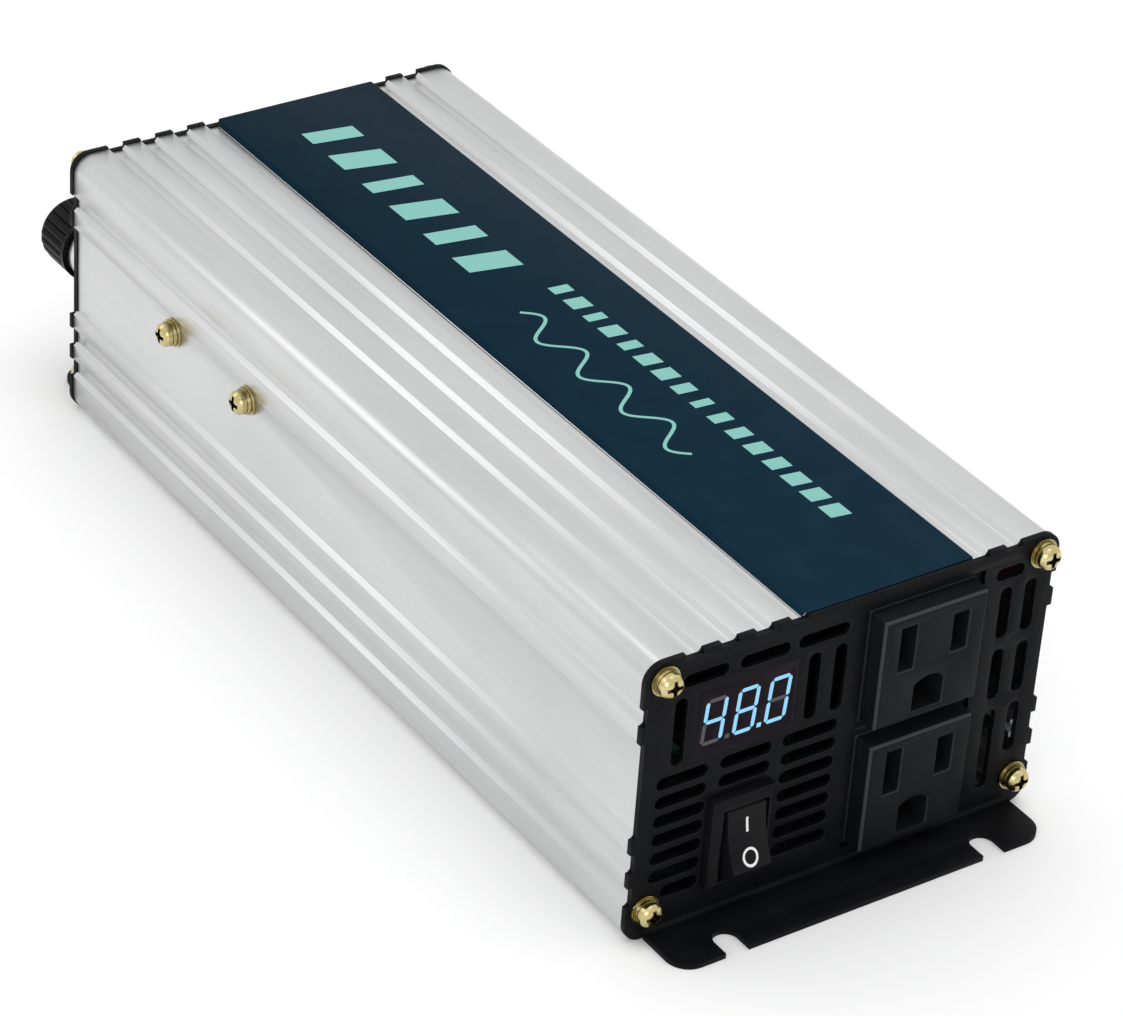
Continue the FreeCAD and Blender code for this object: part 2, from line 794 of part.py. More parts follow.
def ground_contact(z, tail):
    gap = ground_width - 2 * contact_thickness - 0.2
    width = gap + 2 * contact_thickness
    return join([spring_fork(outlet_x, z - ground_drop, gap, width, 3.0), tail])


def outlet_contacts():
    blades, ground = [], []
    for z in outlet_centres:
        neutral_tail, line_tail, ground_tail = outlet_tails(z)
        blades += [blade_contact(-1, z, neutral_tail), blade_contact(1, z, line_tail)]
        ground.append(ground_contact(z, ground_tail))
    return blades, ground


def outlet_board():
    y0 = front_face + outlet_depth
    low = outlet_centres[1] - outlet_height / 2
    high = outlet_centres[0] + outlet_height / 2
    wide = outlet_width / 2 + 2
    board = box(outlet_x - wide, outlet_x + wide, y0, y0 + board_thickness, low, high)
    tails = [tail for z in outlet_centres for tail in outlet_tails(z)]
    return carve(board, tails)


# ---------------------------------------------------------------- rear terminals
base_face = rear_face + base_height
washer_face = base_face + contact_washer_height
collar_face = washer_face + turning_gap + collar_height
knob_start = collar_face + turning_gap


def terminal(side, y):
    return vec(side * terminal_x, y, terminal_z)


def stud(side):
    """Plain-drawn M6 stud with a square neck inside the case."""
    body = rod(stud_radius, terminal(side, rear_back - stud_inner), Y,
               stud_inner + plate_thickness + stud_reach)
    ends = [e for e in body.Edges if e.Curve.TypeId == "Part::GeomCircle"]
    return body.makeChamfer(0.5, ends)


def outer_insulator(side):
    flange = rod(base_radius, terminal(side, rear_face), Y, base_height)
    rim = [e for e in flange.Edges if abs(e.CenterOfMass.y - base_face) < 0.01]
    flange = flange.makeFillet(0.6, rim)
    spigot = rod(spigot_radius, terminal(side, rear_back), Y, plate_thickness)
    hole = rod(stud_radius, terminal(side, rear_back - 1), Y, base_height + plate_thickness + 2)
    return join([flange, spigot]).cut(hole)


def inner_insulator(side):
    return ring(base_radius - 0.2, stud_radius, terminal(side, rear_back - inner_insulator_height), Y,
                inner_insulator_height)


def contact_washer(side):
    return ring(contact_washer_radius, stud_radius, terminal(side, base_face), Y, contact_washer_height)


def stud_nut(side):
    y0 = rear_back - inner_insulator_height - bus_bar_thickness - nut_height
    nut = hexagon(10.0, terminal(side, y0), Y, nut_height)
    return nut.cut(rod(stud_radius, terminal(side, y0), Y, nut_height))


def bus_bar(side):
    """Copper strap from the stud down to the main board."""
    x = side * terminal_x
    y1 = rear_back - inner_insulator_height
    y0 = y1 - bus_bar_thickness
    half = 5.0
    upright = box(x - half, x + half, y0, y1, board_top, terminal_z + 6)
    foot = box(x - half, x + half, board_rear - bus_bar_landing, y1, board_top, board_top + bus_bar_thickness)
    hole = rod(stud_radius, vec(x, y0, terminal_z), Y, bus_bar_thickness)
    return join([upright, foot]).cut(hole)


def collar(side):
    y0 = washer_face + turning_gap
    body = ring(collar_radius, stud_radius + running_gap, terminal(side, y0), Y, collar_height)
    circles = [e for e in body.Edges if e.Curve.TypeId == "Part::GeomCircle"]
    rims = [e for e in circles if e.Curve.Radius > stud_radius + 1]
    return body.makeChamfer(0.4, rims)


def knob(side):
    """Ribbed cap; ribs run along its axis and its outer end is domed."""
    y0 = knob_start
    body = rod(knob_radius, terminal(side, y0), Y, knob_length)
    end_rim = [e for e in body.Edges if abs(e.CenterOfMass.y - y0 - knob_length) < 0.01]
    body = body.makeFillet(1.4, end_rim)
    flutes = []
    flute_radius = math.pi * knob_radius / knob_ribs * 0.55
    offset = knob_radius + flute_radius - knob_rib_depth
    for n in range(knob_ribs):
        angle = 2 * math.pi * n / knob_ribs
        middle = terminal(side, y0 - 1)
        start = middle + vec(offset * math.cos(angle), 0, offset * math.sin(angle))
        flutes.append(rod(flute_radius, start, Y, knob_length + 2))
    socket = rod(insert_radius, terminal(side, y0), Y, insert_length)
    return carve(body, flutes + [socket])


def knob_insert(side):
    body = rod(insert_radius, terminal(side, knob_start), Y, insert_length)
    depth = stud_reach - (knob_start - rear_face) + 1.0
    bore = rod(stud_radius + running_gap, terminal(side, knob_start), Y, depth)
    return body.cut(bore)


# ---------------------------------------------------------------- fan
fan_rear = rear_back
fan_front = rear_back - fan_depth


def fan_frame():
    half = fan_size / 2
    shell = rounded_box(-half, half, fan_front, fan_rear, fan_z - half, fan_z + half, 4.0, Y)
    bore = rod(fan_bore_radius, vec(0, fan_front, fan_z), Y, fan_depth)
    waist = ring(fan_size, fan_bore_radius + 1.5, vec(0, fan_front + 3.5, fan_z), Y, fan_depth - 7)
    pockets = waist.common(box(-half, half, fan_front, fan_rear, fan_z - half, fan_z + half))
    posts = [rod(4.0, vec(x, fan_front, z), Y, fan_depth) for x, z in fan_screw_places()]
    shell = shell.cut([bore, pockets]).fuse(posts).cut(bore)
    arms = []
    for n in range(4):
        arm = box(-1.3, 1.3, fan_front, fan_front + 2, fan_z, fan_z + fan_bore_radius + 0.8)
        arm.rotate(vec(0, 0, fan_z), Y, 45 + 90 * n)
        arms.append(arm)
    base = rod(motor_radius + 1.5, vec(0, fan_front, fan_z), Y, 2)
    holes = [rod(m4_radius + screw_clearance, vec(x, fan_front, z), Y, fan_depth)
             for x, z in fan_screw_places()]
    holes.append(rod(bearing_radius, vec(0, fan_front, fan_z), Y, 2))
    return carve(join([shell, base] + arms), holes)


def fan_bearing():
    return ring(bearing_radius, shaft_radius + 0.03, vec(0, fan_front, fan_z), Y, 9.5)


def fan_stator():
    core = ring(motor_radius - 1.2, bearing_radius, vec(0, fan_front + 2.6, fan_z), Y, 6)
    seat = ring(bearing_radius + 1.2, bearing_radius, vec(0, fan_front + 2, fan_z), Y, 0.6)
    gaps = []
    for n in range(4):
        gap = box(-0.8, 0.8, fan_front + 2.6, fan_front + 8.6, fan_z + 4.2, fan_z + motor_radius)
        gap.rotate(vec(0, 0, fan_z), Y, 90 * n + 20)
        gaps.append(gap)
    return carve(join([core, seat]), gaps)


def fan_rotor():
    y0 = fan_front + 2.6
    y1 = fan_rear - 1.0
    cup = rod(hub_radius, vec(0, y0, fan_z), Y, y1 - y0)
    rim = [e for e in cup.Edges if abs(e.CenterOfMass.y - y1) < 0.01]
    cup = cup.makeFillet(1.0, rim)
    inside = rod(motor_radius, vec(0, y0, fan_z), Y, y1 - y0 - 1.6)
    annulus = ring(rotor_radius, hub_radius - 0.6, vec(0, y0, fan_z), Y, y1 - y0)
    blades = []
    for n in range(fan_blades):
        blade = box(-14, 14, -blade_thickness / 2, blade_thickness / 2, 0, rotor_radius + 2)
        blade.rotate(vec(0, 0, 0), Z, blade_pitch_angle)
        blade.translate(vec(0, (y0 + y1) / 2, fan_z))
        blade.rotate(vec(0, 0, fan_z), Y, 360.0 / fan_blades * n)
        blades.append(blade.common(annulus))
    bore = rod(shaft_radius, vec(0, y0, fan_z), Y, y1 - y0 - 0.5)
    return carve(join([cup] + blades), [inside, bore])


def fan_shaft():
    y0 = fan_front + 0.5
    return rod(shaft_radius, vec(0, y0, fan_z), Y, fan_rear - 1.5 - y0)


def fan_guard():
    """Rings of wire on two crossed spokes, with an eye at each screw."""
    ring_y = rear_face + guard_wire * 3
    spoke_y = rear_face + guard_wire
    wires = [Part.makeTorus(radius, guard_wire, vec(0, ring_y, fan_z), Y) for radius in guard_rings]
    eye_reach = fan_hole_spacing / 2 * math.sqrt(2)
    eye_radius = m4_radius + 0.3 + guard_wire
    for n in range(4):
        start, stop = guard_rings[0] - guard_wire, eye_reach - eye_radius
        spoke = rod(guard_wire, vec(start, spoke_y, fan_z), X, stop - start)
        spoke.rotate(vec(0, 0, fan_z), Y, 45 + 90 * n)
        eye = Part.makeTorus(eye_radius, guard_wire, vec(eye_reach, spoke_y, fan_z), Y)
        eye.rotate(vec(0, 0, fan_z), Y, 45 + 90 * n)
        wires += [spoke, eye]
    lifted = []
    for n in range(4):
        for radius in guard_rings:
            link = rod(guard_wire * 0.9, vec(radius, spoke_y, fan_z), Y, ring_y - spoke_y)
            link.rotate(vec(0, 0, fan_z), Y, 45 + 90 * n)
            lifted.append(link)
    return join(wires + lifted)


def fan_screws():
    seat = rear_face + guard_wire * 2
    length = seat - fan_front + 3.6
    return [pan_screw(vec(x, seat, z), Y, m4_radius, 3.7, 2.6, length) for x, z in fan_screw_places()]


def fan_nuts():
    nuts = []
    for x, z in fan_screw_places():
        nut = hexagon(7.0, vec(x, fan_front - 3.2, z), Y, 3.2)
        nuts.append(nut.cut(rod(m4_radius + thread_gap, vec(x, fan_front - 3.2, z), Y, 3.2)))
    return nuts


# ---------------------------------------------------------------- electronics
def main_board():
    half = inner_half_width - slot_play
    return box(-half, half, board_front, board_rear, board_height, board_top)


def transistor_ys():
    gap = transistor_width / 2 + m3_radius + 1.2
    return [y + step * gap for y in side_screw_ys for step in (-1, 1)]


def transistor(side, y):
    """Upright moulded case with a metal tab against the wall pad and three leads to the board."""
    back = inner_half_width - pad_thickness
    front = back - transistor_thickness
    low = board_top + transistor_lift
    xs = sorted((side * back, side * front))
    half = transistor_width / 2
    return box(xs[0], xs[1], y - half, y + half, low, low + transistor_height)


def transistor_leads(side, y):
    x = side * (inner_half_width - pad_thickness - transistor_thickness / 2)
    low = board_top
    return [box(x - 0.3, x + 0.3, y + 2.54 * n - 0.4, y + 2.54 * n + 0.4, low, low + transistor_lift)
            for n in (-1, 0, 1)]


def transistor_bank(side):
    return [transistor(side, y) for y in transistor_ys()]


def lead_bank():
    return [lead for side in (-1, 1) for y in transistor_ys() for lead in transistor_leads(side, y)]


def bank_span():
    ys = transistor_ys()
    return min(ys) - transistor_width / 2 - 1, max(ys) + transistor_width / 2 + 1


def insulating_pad(side):
    y0, y1 = bank_span()
    low = board_top + transistor_lift - 1
    xs = sorted((side * inner_half_width, side * (inner_half_width - pad_thickness)))
    pad = box(xs[0], xs[1], y0, y1, low, low + transistor_height + 2)
    holes = [rod(m3_radius + screw_clearance, vec(-half_width, y, side_screw_height), X, case_width)
             for y in side_screw_ys]
    return carve(pad, holes)


def clamp_bar(side):
    y0, y1 = bank_span()
    outer = inner_half_width - pad_thickness - transistor_thickness
    xs = sorted((side * outer, side * (outer - clamp_thickness)))
    z0 = side_screw_height - clamp_height / 2
    bar = box(xs[0], xs[1], y0, y1, z0, z0 + clamp_height)
    holes = [rod(m3_radius + thread_gap, vec(-half_width, y, side_screw_height), X, case_width)
             for y in side_screw_ys]
    return carve(bar, holes)


def coil_span():
    """Heights between which the winding sits on its bobbin."""
    low = board_top + bobbin_lift + 8
    return low, low + core_height - 16


def transformer_core(y):
    """Ferrite frame with a middle leg, standing across the board."""
    z0 = board_top + bobbin_lift
    half, deep = core_length / 2, core_thickness / 2
    block = box(-half, half, y - deep, y + deep, z0, z0 + core_height)
    windows = []
    for side in (-1, 1):
        xs = sorted((side * 5.5, side * 13.5))
        windows.append(box(xs[0], xs[1], y - deep, y + deep, z0 + 6, z0 + core_height - 6))
    return carve(block, windows)


def transformer_winding(y):
    """Taped coil round the bobbin's sleeve, between its flanges."""
    low, high = coil_span()
    wide, deep = coil_width / 2, coil_depth / 2
    coil = rounded_box(-wide, wide, y - deep, y + deep, low, high, 5.0, Z)
    return coil.cut(box(-6.5, 6.5, y - 7, y + 7, low, high))


def transformer_bobbin(y):
    """Sleeve round the middle leg, a flange above and below the coil, and two feet on the board."""
    low, high = coil_span()
    wide, deep = coil_width / 2, coil_depth / 2
    parts = [box(-6.5, 6.5, y - 7, y + 7, low, high)]
    for z in (low - 1.6, high):
        parts.append(box(-wide, wide, y - deep, y + deep, z, z + 1.6))
    for side in (-1, 1):
        ys = sorted((y + side * deep, y + side * (deep - 3)))
        parts.append(box(-wide, wide, ys[0], ys[1], board_top, low - 1.6))
    leg = box(-5.6, 5.6, y - 6.1, y + 6.1, low - 2, high + 2)
    return carve(join(parts), [leg])


def capacitor(x, y, radius, height):
    can = rod(radius, vec(x, y, board_top), Z, height)
    rim = [e for e in can.Edges if e.CenterOfMass.z > board_top + height - 0.1]
    can = can.makeFillet(0.8, rim)
    vents = [box(x - radius * 0.6, x + radius * 0.6, y - 0.25, y + 0.25, board_top + height - 0.3,
                 board_top + height + 1)]
    vents.append(box(x - 0.25, x + 0.25, y - radius * 0.6, y + radius * 0.6, board_top + height - 0.3,
                     board_top + height + 1))
    neck = ring(radius + 1, radius - 0.5, vec(x, y, board_top + 2.0), Z, 0.8)
    return carve(can, vents + [neck])


def input_capacitors():
    step = input_capacitor_radius * 2 + 1.5
    return [capacitor(step * (n - 1), input_capacitor_y, input_capacitor_radius, input_capacitor_height)
            for n in range(3)]


def bus_capacitors():
    step = bus_capacitor_radius * 2 + 2
    return [capacitor(step * (n - 0.5), bus_capacitor_y, bus_capacitor_radius, bus_capacitor_height)
            for n in range(2)]


def choke_centre():
    return vec(choke_x, choke_y, board_top + choke_radius)


def choke_core():
    return Part.makeTorus(choke_radius - choke_tube, choke_tube - 1.4, choke_centre(), X)


def choke_winding():
    """Turns of thick wire round the core, one closed ring for each turn."""
    wires = []
    for n in range(choke_turns):
        angle = 2 * math.pi * n / choke_turns
        radial = vec(0, math.cos(angle), math.sin(angle))
        tangent = vec(0, -math.sin(angle), math.cos(angle))
        middle = choke_centre() + radial * (choke_radius - choke_tube)
        wires.append(Part.makeTorus(choke_tube - 0.7, 0.6, middle, tangent))
    return wires


def control_board():
    z0 = board_top + 2.5
    half = board_thickness / 2
    return box(-34, -2, control_y - half, control_y + half, z0, z0 + 24)


def control_header():
    """Strip of pins between the main board and the upright control board."""
    y1 = control_y - board_thickness / 2
    return box(-32, -4, y1 - 2.5, y1, board_top, board_top + 6)


def fuses():
    """Blade fuses standing in a row behind the positive bus bar."""
    blocks = []
    for n in range(3):
        x = 26.0 - 8.0 * n
        body = box(x - 2.5, x + 2.5, 69.0, 79.0, board_top + 7, board_top + 19)
        legs = [box(x - 0.4, x + 0.4, y, y + 3.0, board_top, board_top + 7) for y in (69.8, 75.2)]
        blocks.append(join([body] + legs))
    return blocks


def film_capacitor():
    return rounded_box(22, 40, -74, -62, board_top, board_top + 17, 1.0, Z)


# ---------------------------------------------------------------- write every sub-part
save("case_shell", case_shell())
save("label_strip", label_strip())
save("front_plate", front_plate())
save("rear_plate", rear_plate())

for place_name, places, reach in (("plate", plate_screw_places(), plate_screw_length),
                                  ("side", side_screw_places(), side_screw_length)):
    screws, flats, splits = screw_sets(places, reach)
    save(place_name + "_screws", screws)
    save(place_name + "_washers", flats)
    save(place_name + "_lock_washers", splits)

lit_segments, dark_segments = display_segments()
save("display_block", display_block(lit_segments + dark_segments))
save("lit_segments", lit_segments)
save("dark_segments", dark_segments)
save("display_board", display_board())
save("display_pins", display_pins())

save("switch_housing", switch_housing())
save("rocker_paddle", rocker_paddle())
save("switch_tabs", switch_tabs())

for outlet_name, centre in zip(("upper", "lower"), outlet_centres):
    save(outlet_name + "_outlet", outlet_body(centre))
blade_contacts, ground_contacts = outlet_contacts()
save("blade_contacts", blade_contacts)
save("ground_contacts", ground_contacts)
save("outlet_board", outlet_board())

for colour, side in (("black", -1), ("red", 1)):
    save(colour + "_terminal_base", outer_insulator(side))
    save(colour + "_collar", collar(side))
    save(colour + "_knob", knob(side))
    save(colour + "_knob_insert", knob_insert(side))
save("terminal_studs", [stud(side) for side in (-1, 1)])
save("inner_insulators", [inner_insulator(side) for side in (-1, 1)])
save("contact_washers", [contact_washer(side) for side in (-1, 1)])
save("stud_nuts", [stud_nut(side) for side in (-1, 1)])
save("bus_bars", [bus_bar(side) for side in (-1, 1)])

save("fan_frame", fan_frame())
save("fan_bearing", fan_bearing())
save("fan_stator", fan_stator())
save("fan_rotor", fan_rotor())
save("fan_shaft", fan_shaft())
save("fan_guard", fan_guard())
save("fan_screws", fan_screws())
save("fan_nuts", fan_nuts())

save("main_board", main_board())
save("transistors", transistor_bank(-1) + transistor_bank(1))
save("transistor_leads", lead_bank())
save("insulating_pads", [insulating_pad(side) for side in (-1, 1)])
save("clamp_bars", [clamp_bar(side) for side in (-1, 1)])
save("transformer_cores", [transformer_core(y) for y in transformer_ys])
save("transformer_windings", [transformer_winding(y) for y in transformer_ys])
save("transformer_bobbins", [transformer_bobbin(y) for y in transformer_ys])
save("input_capacitors", input_capacitors())
save("bus_capacitors", bus_capacitors())
save("choke_core", choke_core())
save("choke_winding", choke_winding())
save("control_board", control_board())
save("control_header", control_header())
save("fuses", fuses())
save("film_capacitor", film_capacitor())
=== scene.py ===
import bmesh
import bpy
import math
from mathutils import Matrix, Quaternion, Vector
from mathutils.bvhtree import BVHTree
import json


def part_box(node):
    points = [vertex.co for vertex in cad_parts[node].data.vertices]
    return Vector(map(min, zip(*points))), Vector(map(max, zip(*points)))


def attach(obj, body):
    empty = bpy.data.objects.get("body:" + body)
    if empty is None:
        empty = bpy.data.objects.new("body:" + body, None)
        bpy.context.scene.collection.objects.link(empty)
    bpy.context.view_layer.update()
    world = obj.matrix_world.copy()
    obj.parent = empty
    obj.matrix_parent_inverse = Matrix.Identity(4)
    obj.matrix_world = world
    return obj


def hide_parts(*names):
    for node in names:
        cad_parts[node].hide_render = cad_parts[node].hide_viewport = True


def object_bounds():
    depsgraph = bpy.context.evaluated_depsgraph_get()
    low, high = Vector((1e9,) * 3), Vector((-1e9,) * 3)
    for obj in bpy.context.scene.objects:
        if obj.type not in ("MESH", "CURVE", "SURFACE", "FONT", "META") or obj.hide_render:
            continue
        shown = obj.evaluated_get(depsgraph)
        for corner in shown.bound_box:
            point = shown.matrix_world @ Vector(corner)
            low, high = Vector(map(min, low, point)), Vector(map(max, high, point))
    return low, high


# Looks of a power inverter: finishes for every piece, broken edges, threaded screws, guard wires,
# ribbed knobs, the choke's winding, chips on the board, and the print on the label and the rocker.
# Lengths are metres, in the frame of the model.

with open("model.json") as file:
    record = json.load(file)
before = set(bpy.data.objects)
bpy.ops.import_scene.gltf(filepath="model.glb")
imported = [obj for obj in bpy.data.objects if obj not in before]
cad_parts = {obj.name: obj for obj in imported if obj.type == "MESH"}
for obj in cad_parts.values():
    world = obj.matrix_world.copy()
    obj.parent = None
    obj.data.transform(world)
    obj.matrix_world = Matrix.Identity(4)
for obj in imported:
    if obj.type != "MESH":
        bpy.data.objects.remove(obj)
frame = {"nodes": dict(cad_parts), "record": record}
cad_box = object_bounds()
cad = frame["nodes"]

MM = 0.001

# sizes that the frame doesn't give; FILM is how far print stands off its surface
MERGE_DISTANCE = 0.0005 * MM
FLAT_WITHIN = math.radians(0.3)
TEXTURE_DEPTH = 0.012 * MM
M3_HEAD_RADIUS = 2.6 * MM
M3_HEAD_HEIGHT = 2.2 * MM
M3_RADIUS = 1.5 * MM
M3_PITCH = 0.5 * MM
M4_HEAD_RADIUS = 3.7 * MM
M4_HEAD_HEIGHT = 2.6 * MM
M4_RADIUS = 2.0 * MM
M4_PITCH = 0.7 * MM
FILM = 0.03 * MM

# how wide each piece's edges are broken
EDGE_WIDTHS = {
    "front_plate": 0.16 * MM, "rear_plate": 0.16 * MM, "case_shell": 0.22 * MM,
    "upper_outlet": 0.28 * MM, "lower_outlet": 0.28 * MM, "switch_housing": 0.22 * MM,
    "rocker_paddle": 0.3 * MM, "display_block": 0.12 * MM, "label_strip": 0.08 * MM,
    "black_collar": 0.15 * MM, "red_collar": 0.15 * MM,
    "black_terminal_base": 0.15 * MM, "red_terminal_base": 0.15 * MM,
    "fan_frame": 0.25 * MM, "fan_rotor": 0.18 * MM,
}

# marks printed on the rocker, a bar above and a ring below, laid on it from STAND_OFF in front
MARKS_X = -24.4 * MM
BAR_FOOT = 20.6 * MM
BAR_LENGTH = 3.2 * MM
BAR_HALF_WIDTH = 0.27 * MM
BAR_STEPS = 8
RING_Z = 15.7 * MM
RING_OUTER = 1.8 * MM
RING_INNER = 1.3 * MM
RING_STEPS = 48
STAND_OFF = 10 * MM

# where the camera stands in metres, how it is turned in degrees, and its lens in millimetres
CAMERA_PLACE = (-0.45105, -0.63444, 0.52324)
CAMERA_AZIMUTH = -35.963
CAMERA_ELEVATION = 32.79
CAMERA_ROLL = 4.213
CAMERA_LENS = 140.88

# lamps: direction from the object, distance and side in metres, power in watts
LAMPS = {
    "back_left": ((-0.54, 0.68, 0.55), 1.6, 0.7, 1.5),
    "overhead": ((0.1, -0.1, 1.0), 1.8, 1.2, 6),
    "front_left": ((-0.8, -0.9, 0.5), 1.8, 0.8, 3),
}
SKY_STRENGTH = 0.95
FLOOR_REACH = 6.0
FLOOR_DROP = 0.02 * MM

# plastics whose moulded edges get a painted highlight where they catch the light, and the shine of dark and
# of coloured plastics
SHARP_EDGED = ("outlet_plastic",)
DARK_SHINE = 0.07
COLOURED_SHINE = 0.5
DARK_BELOW = 0.06


# ---------------------------------------------------------------- finishes
class Finish:
    """A material and the nodes that give it colour, gloss and relief."""

    def __init__(self, name, colour, roughness, metallic=0.0, **sockets):
        self.material = bpy.data.materials.new(name)
        self.material.use_nodes = True
        self.nodes = self.material.node_tree.nodes
        self.wires = self.material.node_tree.links
        self.shader = self.nodes["Principled BSDF"]
        self.set("Base Color", (*colour, 1.0))
        self.set("Roughness", roughness)
        self.set("Metallic", metallic)
        for label, value in sockets.items():
            self.set(label.replace("_", " "), value)
        self.place = self.nodes.new("ShaderNodeTexCoord").outputs["Object"]

    def set(self, label, value):
        self.shader.inputs[label].default_value = value

    def feed(self, label, output):
        self.wires.new(output, self.shader.inputs[label])

    def put(self, kind, inputs, **settings):
        node = self.nodes.new(kind)
        for key, value in settings.items():
            setattr(node, key, value)
        for key, value in inputs.items():
            if isinstance(value, bpy.types.NodeSocket):
                self.wires.new(value, node.inputs[key])
            else:
                node.inputs[key].default_value = value
        return node

    def scaled(self, size_x, size_y, size_z):
        """Object coordinates counted in features of the given sizes."""
        scale = (1 / size_x, 1 / size_y, 1 / size_z)
        return self.put("ShaderNodeMapping", {"Vector": self.place, "Scale": scale}).outputs["Vector"]

    def grain(self, size, detail=2.0, stretch=(1, 1, 1)):
        vector = self.scaled(size * stretch[0], size * stretch[1], size * stretch[2])
        inputs = {"Vector": vector, "Scale": 1.0, "Detail": detail}
        return self.put("ShaderNodeTexNoise", inputs).outputs["Fac"]

    def spread(self, value, low, high, start=0.3, end=0.7):
        """A value between two limits, from one that runs from start to end."""
        inputs = {"Value": value, "From Min": start, "From Max": end, "To Min": low, "To Max": high}
        return self.put("ShaderNodeMapRange", inputs).outputs["Result"]

    def mix(self, factor, first, second):
        node = self.put("ShaderNodeMix", {}, data_type="RGBA")
        for key, value in ((0, factor), (6, first), (7, second)):
            if isinstance(value, bpy.types.NodeSocket):
                self.wires.new(value, node.inputs[key])
            else:
                node.inputs[key].default_value = value if key == 0 else (*value, 1.0)
        return node.outputs[2]

    def calc(self, operation, first, second=0.0):
        return self.put("ShaderNodeMath", {0: first, 1: second}, operation=operation).outputs[0]

    def lit_edges(self):
        """Mask for a painted edge highlight: 1 where a rounded edge of an end face slants up or to the left,
        0 elsewhere and by the ground.
        """
        normal = self.put("ShaderNodeNewGeometry", {}).outputs["True Normal"]
        facing = self.put("ShaderNodeSeparateXYZ", {"Vector": normal}).outputs
        slant = self.calc("MAXIMUM", facing["Z"], self.calc("MULTIPLY", facing["X"], -1.0))
        endways = self.calc("ABSOLUTE", facing["Y"])
        off_side = self.spread(endways, 0, 1, 0.3, 0.5)
        off_face = self.spread(endways, 1, 0, 0.88, 0.97)
        rounded = self.calc("MULTIPLY", off_side, off_face)
        rounded = self.calc("MULTIPLY", rounded, self.spread(slant, 0, 1, 0.15, 0.35))
        height = self.put("ShaderNodeSeparateXYZ", {"Vector": self.place}).outputs["Z"]
        return self.calc("MULTIPLY", rounded, self.spread(height, 0, 1, 4 * MM, 5 * MM))

    def relief(self, height, depth, strength=1.0, over=None):
        inputs = {"Height": height, "Distance": depth, "Strength": strength}
        if over is not None:
            inputs["Normal"] = over
        return self.put("ShaderNodeBump", inputs).outputs["Normal"]


def extruded_aluminium():
    f = Finish("extruded_aluminium", (0.66, 0.665, 0.67), 0.34, 1.0)
    lines = f.grain(0.22 * MM, 3, (1, 260, 1))
    patches = f.grain(16 * MM, 3, (1, 3, 1))
    bloom = f.grain(0.09 * MM, 2)
    colour = f.mix(f.spread(patches, 0, 1), (0.60, 0.603, 0.607), (0.67, 0.672, 0.676))
    f.feed("Base Color", f.mix(f.spread(lines, 0, 0.35), colour, (0.53, 0.533, 0.54)))
    f.feed("Roughness", f.calc("ADD", f.spread(lines, 0.29, 0.37), f.spread(patches, -0.02, 0.03)))
    drawn = f.relief(lines, 0.004 * MM, 0.5)
    f.feed("Normal", f.relief(bloom, 0.003 * MM, 0.35, drawn))
    return f.material


def powder_coat():
    f = Finish("black_powder_coat", (0.005, 0.005, 0.006), 0.5, 0.0, Specular_IOR_Level=0.08)
    orange_peel = f.grain(0.55 * MM, 2)
    fine = f.grain(0.16 * MM, 2)
    dust = f.grain(7 * MM, 4)
    coat = f.mix(f.spread(dust, 0, 1), (0.0025, 0.0028, 0.0038), (0.0045, 0.0048, 0.0057))
    # painted highlight: rounded edges that slant up or to the left are coloured light grey
    f.feed("Base Color", f.mix(f.lit_edges(), coat, (0.36, 0.365, 0.37)))
    f.feed("Roughness", f.spread(fine, 0.42, 0.58))
    f.feed("Normal", f.relief(fine, 0.010 * MM, 0.5, f.relief(orange_peel, TEXTURE_DEPTH, 0.6)))
    return f.material


def label_film():
    f = Finish("label_film", (0.008, 0.020, 0.032), 0.3, 0.0, Specular_IOR_Level=0.008)
    depth = f.put("ShaderNodeSeparateXYZ", {"Vector": f.place}).outputs["Y"]
    along = f.spread(depth, 0, 1, cad_box[0].y, cad_box[1].y)
    fibre = f.grain(0.35 * MM, 2)
    # painted shade: the film's colour darkens from front to rear to hold down the lamps' light on the rear
    base = f.mix(along, (0.008, 0.027, 0.047), (0.003, 0.017, 0.030))
    f.feed("Base Color", f.mix(f.spread(f.grain(9 * MM, 3), 0, 0.3), base, (0.003, 0.012, 0.021)))
    f.feed("Roughness", f.spread(fibre, 0.26, 0.38))
    f.feed("Normal", f.relief(fibre, 0.004 * MM, 0.5))
    return f.material


def print_ink():
    f = Finish("label_ink", (0.18, 0.47, 0.42), 0.4)
    screen = f.grain(0.25 * MM, 2)
    f.feed("Base Color", f.mix(f.spread(screen, 0, 1), (0.165, 0.45, 0.40), (0.195, 0.49, 0.44)))
    f.feed("Roughness", f.spread(screen, 0.34, 0.48))
    f.feed("Normal", f.relief(screen, 0.003 * MM, 0.4))
    return f.material


def white_print():
    f = Finish("white_print", (0.72, 0.72, 0.72), 0.45)
    screen = f.grain(0.2 * MM, 2)
    f.feed("Base Color", f.mix(f.spread(screen, 0, 1), (0.66, 0.66, 0.66), (0.78, 0.78, 0.78)))
    f.feed("Normal", f.relief(screen, 0.003 * MM, 0.4))
    return f.material


